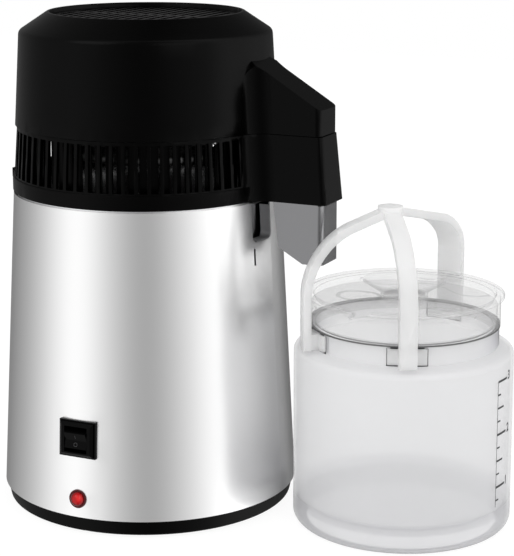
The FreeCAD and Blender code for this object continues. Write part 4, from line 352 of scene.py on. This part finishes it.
def frosted_jug(name, colour, alpha):
    """The jug's plastic: pale walls, with painted shade in the heel and the raised floor, which are also made
    more opaque.

    The collar is painted grey where it turns away from the eye, as painted shade and reflection, and the
    edges of its windows are painted dark as painted shade.
    """
    made, tree, shader = frosted(name, colour, roughness=0.42, alpha=alpha, skin=1500)
    where = tree.add("ShaderNodeTexCoord").outputs
    place = tree.add("ShaderNodeSeparateXYZ", {"Vector": where["Object"]}).outputs
    normal = tree.add("ShaderNodeSeparateXYZ", {"Vector": where["Normal"]}).outputs
    across = tree.math("SUBTRACT", place["X"], JUG.x)
    along = tree.math("SUBTRACT", place["Y"], JUG.y)
    radius = tree.math("SQRT", tree.math("MULTIPLY_ADD", across, across, tree.math("MULTIPLY", along, along)))

    # Painted shade in the raised floor and, lighter, in the heel.
    low = tree.math("LESS_THAN", place["Z"], JUG_FLOOR_HEIGHT)
    inside = tree.math("LESS_THAN", radius, JUG_FLOOR_RADIUS)
    bottom = tree.math("MULTIPLY_ADD", inside, JUG_FLOOR_SHADE - JUG_HEEL_SHADE, JUG_HEEL_SHADE)

    # Painted shade and reflection on the collar: grey towards its outline and dark on its windows' edges.
    collar = tree.math("COMPARE", place["Z"], COLLAR_MIDDLE, COLLAR_HALF_HEIGHT)
    turned = tree.math("MULTIPLY", normal["X"], across)
    turned = tree.math("MULTIPLY_ADD", normal["Y"], along, turned)
    outwards = tree.math("ABSOLUTE", tree.math("DIVIDE", turned, radius))
    window = tree.math("LESS_THAN", outwards, WINDOW_TURN)
    collar_shade = tree.math("MAXIMUM", window, tree.math("POWER", tree.facing(), COLLAR_FALL))

    # The painted shade greys the colour and makes the plastic more opaque.
    painted_shade = tree.math("MAXIMUM", tree.math("MULTIPLY", low, bottom), tree.math("MULTIPLY", collar, collar_shade))
    tree.links.new(tree.ramp(painted_shade, [(0.0, colour)] + JUG_SHADE_COLOURS), shader.inputs["Base Color"])
    cover = tree.math("MULTIPLY_ADD", painted_shade, JUG_SHADE_ALPHA - alpha, alpha)
    tree.links.new(cover, shader.inputs["Alpha"])
    return made


def clear(name):
    """Clear plastic: seen through where it faces the eye, with painted shade along its edges and at its level
    lines.

    A few wavy lines on the lid's dish stand for the light that its uneven sheet bends.
    """
    made, tree, shader = material(name, Roughness=0.05, IOR=1.25)
    # Painted shade towards each face's outline, on the level lines and on the wavy lines; it greys the colour
    # and makes the plastic more opaque.
    edge = tree.math("POWER", tree.facing(), LID_EDGE_FALL)
    where = tree.add("ShaderNodeTexCoord").outputs["Object"]
    level = tree.add("ShaderNodeSeparateXYZ", {"Vector": where}).outputs["Z"]
    for bottom, top, strength in LID_SHADE_LINES:
        within = tree.math("COMPARE", level, (bottom + top) / 2, (top - bottom) / 2)
        edge = tree.math("MAXIMUM", edge, tree.math("MULTIPLY", within, strength))
    wave = tree.math("COMPARE", tree.noise(WAVE_SCALE, 0), WAVE_MIDDLE, WAVE_HALF)
    dish = tree.math("COMPARE", level, LID_DISH, LID_DISH_HALF)
    bent = tree.math("MULTIPLY", tree.math("MULTIPLY", wave, dish), WAVE_STRENGTH)
    edge = tree.math("MAXIMUM", edge, bent)
    tree.links.new(tree.ramp(edge, LID_SHADE_COLOURS), shader.inputs["Base Color"])
    tree.links.new(tree.math("MULTIPLY_ADD", edge, LID_EDGE_ALPHA, LID_ALPHA), shader.inputs["Alpha"])
    bump(tree, shader, tree.noise(60, 2), distance=0.00015)
    return made


def red_with_painted_highlight(name):
    """Red plastic with a painted highlight in the middle of its dome and painted shade round it."""
    made, tree, shader = material(name, Roughness=0.14, IOR=1.3)
    # Painted highlight in the middle of the dome, painted shade towards its outline.
    stops = [(0.0, (0.75, 0.03, 0.03)), (0.12, (0.5, 0.006, 0.008)), (0.6, (0.1, 0.001, 0.002))]
    tree.links.new(tree.ramp(tree.facing(), stops), shader.inputs["Base Color"])
    return made


def make_materials():
    """One look for each material slot, and the looks of OWN_LOOKS."""
    black = {"colour": (0.0004, 0.0004, 0.0004), "IOR": 1.14}
    return {
        "housing_steel": steel("drum_steel", (0.8, 0.8, 0.8), 0.3, 0.000004),
        # Painted shade: the shroud's steel is painted far darker than the drum's, for the darker reflection
        # it shows.
        "shroud_steel_painted_shade": steel("shroud_steel_painted_shade", (0.2, 0.2, 0.205), 0.24),
        "lip_steel": steel("lip_steel", (0.55, 0.55, 0.56), 0.55),
        "inner_steel": steel("inner_steel", (0.66, 0.66, 0.67), 0.25),
        "heater_metal": steel("heater_metal", (0.55, 0.55, 0.56), 0.45),
        "black_gloss": plastic("black_gloss", roughness=0.24, **black),
        "black_matte": plastic("black_matte", roughness=0.28, grain=0.00001, **black),
        "red_plastic": red_with_painted_highlight("red"),
        # The bush is painted dark red to continue the painted shade round the red dome.
        "dark_red": plastic("dark_red", (0.07, 0.001, 0.002), 0.25, IOR=1.3),
        "frosted_plastic": frosted_jug("frosted", (0.93, 0.93, 0.94), 0.4),
        "frosted_handle": frosted_handle("frosted_handle", (0.97, 0.97, 0.975), 0.68),
        "clear_plastic": clear("clear"),
        "rubber": plastic("rubber", (0.02, 0.02, 0.02), 0.7, 0.00004),
        "silicone": plastic("silicone", (0.75, 0.75, 0.74), 0.5),
        "screw_steel": steel("screw_steel", (0.6, 0.6, 0.6), 0.3),
        "brass": steel("brass", (0.75, 0.56, 0.25), 0.3),
        "motor_metal": steel("motor_metal", (0.3, 0.3, 0.31), 0.45),
        # Painted shade: steel painted nearly black for the coil and the screws inside the head, where shade
        # falls.
        "coil_steel_painted_shade": steel("coil_steel_painted_shade", (0.1, 0.1, 0.1), 0.45),
        # Dark printing ink, also used for the painted shadows in the clips' gaps.
        "print": plastic("print", (0.02, 0.02, 0.021), 0.55),
    }


# Nodes that wear a look of their own in place of their slot's.
OWN_LOOKS = {
    "jug_handle": "frosted_handle",
    # The shroud wears steel painted darker as painted shade.
    "spout_shroud": "shroud_steel_painted_shade",
    "reset_bush": "dark_red",
    # The coil and screws inside the head wear steel painted dark as painted shade.
    "condenser_coil": "coil_steel_painted_shade",
    "pan_screws": "coil_steel_painted_shade",
    "bracket_screws": "coil_steel_painted_shade",
}

# Nodes whose sharp edges are softened, and how far.
SOFT_EDGES = {
    "spout_shroud": 0.0005,
    "jug_handle": 0.0011,
    "head_cover": 0.0006,
    "head_shell": 0.0004,
    "switch_body": 0.0004,
    "rocker": 0.0004,
}
SOFT_ANGLE = math.radians(35)
WELD_REACH = 0.00001


def dress_frame(looks):
    """Each node wears its slot's look or its own, and mouldings lose their sharp edges."""
    slots = {part["node"]: part["material_slot"] for part in frame["record"]["subparts"]}
    for name, node in frame["nodes"].items():
        node.data.materials.clear()
        node.data.materials.append(looks[OWN_LOOKS.get(name, slots[name])])
    for name, width in SOFT_EDGES.items():
        soften(frame["nodes"][name], width)


def soften(node, width):
    """Rounds the sharp edges of a moulding."""
    weld = node.modifiers.new("weld", "WELD")
    weld.merge_threshold = WELD_REACH
    bevel = node.modifiers.new("soft_edges", "BEVEL")
    bevel.width = width
    bevel.segments = 2
    bevel.limit_method = "ANGLE"
    bevel.angle_limit = SOFT_ANGLE
    bevel.harden_normals = True


# ---------------------------------------------------------------- printing and the painted shadows in the clips' gaps


def add_piece(name, made, body, look):
    """Turns the built faces into a piece that moves with a body."""
    mesh = bpy.data.meshes.new(name)
    made.to_mesh(mesh)
    made.free()
    mesh.materials.append(look)
    piece = bpy.data.objects.new(name, mesh)
    bpy.context.collection.objects.link(piece)
    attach(piece, body)


def printed(name, faces, place, body, look):
    """Flat shapes on a surface: place turns each face's flat (u, v) points into places on it."""
    made = bmesh.new()
    for face in faces:
        made.faces.new([made.verts.new(place(u, v)) for u, v in face])
    add_piece(name, made, body, look)


def round_jug(radius, azimuth):
    """The place function that wraps flat shapes round the jug's upright axis."""

    def place(u, v):
        reach = radius + MARK_LIFT
        turn = azimuth + u / radius
        return JUG + Vector((reach * math.cos(turn), reach * math.sin(turn), v))

    return place


def bar(left, bottom, right, top, cells=1):
    """A bar, cut into cells along u so that it can follow a curve."""
    edges = [left + (right - left) * i / cells for i in range(cells + 1)]
    return [[(a, bottom), (b, bottom), (b, top), (a, top)] for a, b in zip(edges, edges[1:])]


def both_sides(faces):
    """The faces, and their mirror images across u = 0."""
    return faces + [[(-u, v) for u, v in reversed(face)] for face in faces]


def glyph(text, size, left, middle, bold=0.0):
    """The faces of a letter or numeral, from u = left on and centred on v = middle."""
    curve = bpy.data.curves.new("glyph", "FONT")
    curve.body = text
    curve.size = size
    curve.offset = bold
    curve.resolution_u = 4
    holder = bpy.data.objects.new("glyph", curve)
    bpy.context.collection.objects.link(holder)
    mesh = holder.to_mesh()
    low = min(v.co.x for v in mesh.vertices)
    centre = (min(v.co.y for v in mesh.vertices) + max(v.co.y for v in mesh.vertices)) / 2
    corners = [(v.co.x - low + left, v.co.y - centre + middle) for v in mesh.vertices]
    faces = [[corners[i] for i in polygon.vertices] for polygon in mesh.polygons]
    holder.to_mesh_clear()
    bpy.data.objects.remove(holder)
    bpy.data.curves.remove(curve)
    return faces


def make_scale(look):
    """The litre scale: an upright line with marks and numerals to its right, wrapped round the jug."""
    bottom = SCALE_TOP - SCALE_STEP * (SCALE_MARKS - 1) - SCALE_STEP / 2
    faces = bar(-SCALE_LINE / 2, bottom, SCALE_LINE / 2, SCALE_TOP)
    for number in range(SCALE_MARKS):
        litres, step = divmod(number, MARKS_PER_LITRE)
        length, half = MARK_LENGTHS[step], MARK_HEIGHTS[step] / 2
        height = SCALE_TOP - SCALE_STEP * number
        faces += bar(0, height - half, length, height + half, cells=8)
        if step == 0:
            numeral = str(SCALE_LITRES - litres)
            faces += glyph(numeral, NUMERAL_SIZE, length + NUMERAL_GAP, height + NUMERAL_RISE, NUMERAL_BOLD)
    printed("litre_scale", faces, round_jug(JUG_RADIUS, SCALE_AZIMUTH), "jug", look)


def make_clip_gap_shadows(look):
    """Painted shadow: dark faces where shade falls in the gaps at the ends and foot of each clip's window,
    and in the pockets beside its leg.
    """
    far = WINDOW_EDGE + END_GAP
    gaps = bar(WINDOW_EDGE, WINDOW_BOTTOM, far, WINDOW_TOP)
    gaps += bar(GAP_NEAR, WINDOW_BOTTOM - FOOT_GAP, far, WINDOW_BOTTOM, cells=4)
    gaps += bar(GAP_NEAR, POCKET_BOTTOM, POCKET_FAR, POCKET_TOP, cells=4)
    for number, azimuth in enumerate(CLIP_AZIMUTHS, start=1):
        on_collar = round_jug(COLLAR_RADIUS, azimuth)
        printed(f"clip_gap_shadows_{number}", both_sides(gaps), on_collar, "jug", look)


def make_rocker_marks(look):
    """The I and the O on the rocker's two faces."""
    turn = Matrix.Rotation(ROCKER_LEAN, 3, "X")
    for name, text, side in (("mark_on", "I", 1), ("mark_off", "O", -1)):
        run = Vector((0, ROCKER_VALLEY_DEPTH - ROCKER_END_DEPTH, side * ROCKER_END_HEIGHT))
        along = run.normalized() * side
        outwards = Vector((1, 0, 0)).cross(along)
        middle = Vector((0, -ROCKER_VALLEY_DEPTH, 0)) + run / 2 + outwards * MARK_LIFT

        def on_rocker(u, v, along=along, middle=middle):
            return ROCKER_PIVOT + turn @ (middle + Vector((u, 0, 0)) + along * v)

        faces = glyph(text, ROCKER_MARK_SIZE, 0, 0)
        width = max(u for face in faces for u, v in face)
        faces = [[(u - width / 2, v) for u, v in face] for face in faces]
        printed(name, faces, on_rocker, "rocker", look)


# ---------------------------------------------------------------- the notch's bent edge


def make_notch_lip(look):
    """The sheet bent in along the notch: down its far side, round the corner and along the bottom."""
    corner = NOTCH_HALF - NOTCH_ROUND
    path = [(NOTCH_HALF, NOTCH_TOP, 0)]
    for number in range(LIP_STEPS + 1):
        turn = math.radians(90) * number / LIP_STEPS
        height = NOTCH_BOTTOM + NOTCH_ROUND * (1 - math.sin(turn))
        path.append((corner + NOTCH_ROUND * math.cos(turn), height, turn))
    path.append((-corner, NOTCH_BOTTOM, math.radians(90)))

    made = bmesh.new()
    turned = Matrix.Rotation(NOTCH_AZIMUTH, 3, "Z")
    rings = []
    for across, height, turn in path:
        radius = HOUSING_TOP_RADIUS + (HOUSING_TOP - height) * HOUSING_TAPER
        outer = math.sqrt(radius**2 - across**2) - LIP_INSET
        inside = (across - LIP_THICKNESS * math.cos(turn), height + LIP_THICKNESS * math.sin(turn))
        corners = [
            (outer, across, height),
            (outer, *inside),
            (outer - LIP_DEPTH, *inside),
            (outer - LIP_DEPTH, across, height),
        ]
        rings.append([made.verts.new(turned @ Vector(place)) for place in corners])
    for first, second in zip(rings, rings[1:]):
        for low, high in ((0, 1), (1, 2), (2, 3), (3, 0)):
            made.faces.new([first[low], first[high], second[high], second[low]])
    made.faces.new(rings[0])
    made.faces.new(rings[-1])
    bmesh.ops.recalc_face_normals(made, faces=made.faces)
    add_piece("notch_lip", made, "drum", look)


make_camera()
make_world()
make_floor()
for lamp_name, lamp in LAMPS.items():
    make_lamp(lamp_name, **lamp)
looks = make_materials()
dress_frame(looks)
make_scale(looks["print"])
# Painted shadows in the gaps round the clips.
make_clip_gap_shadows(looks["print"])
make_rocker_marks(looks["print"])
make_notch_lip(looks["lip_steel"])

bpy.context.scene.view_settings.view_transform = "Standard"
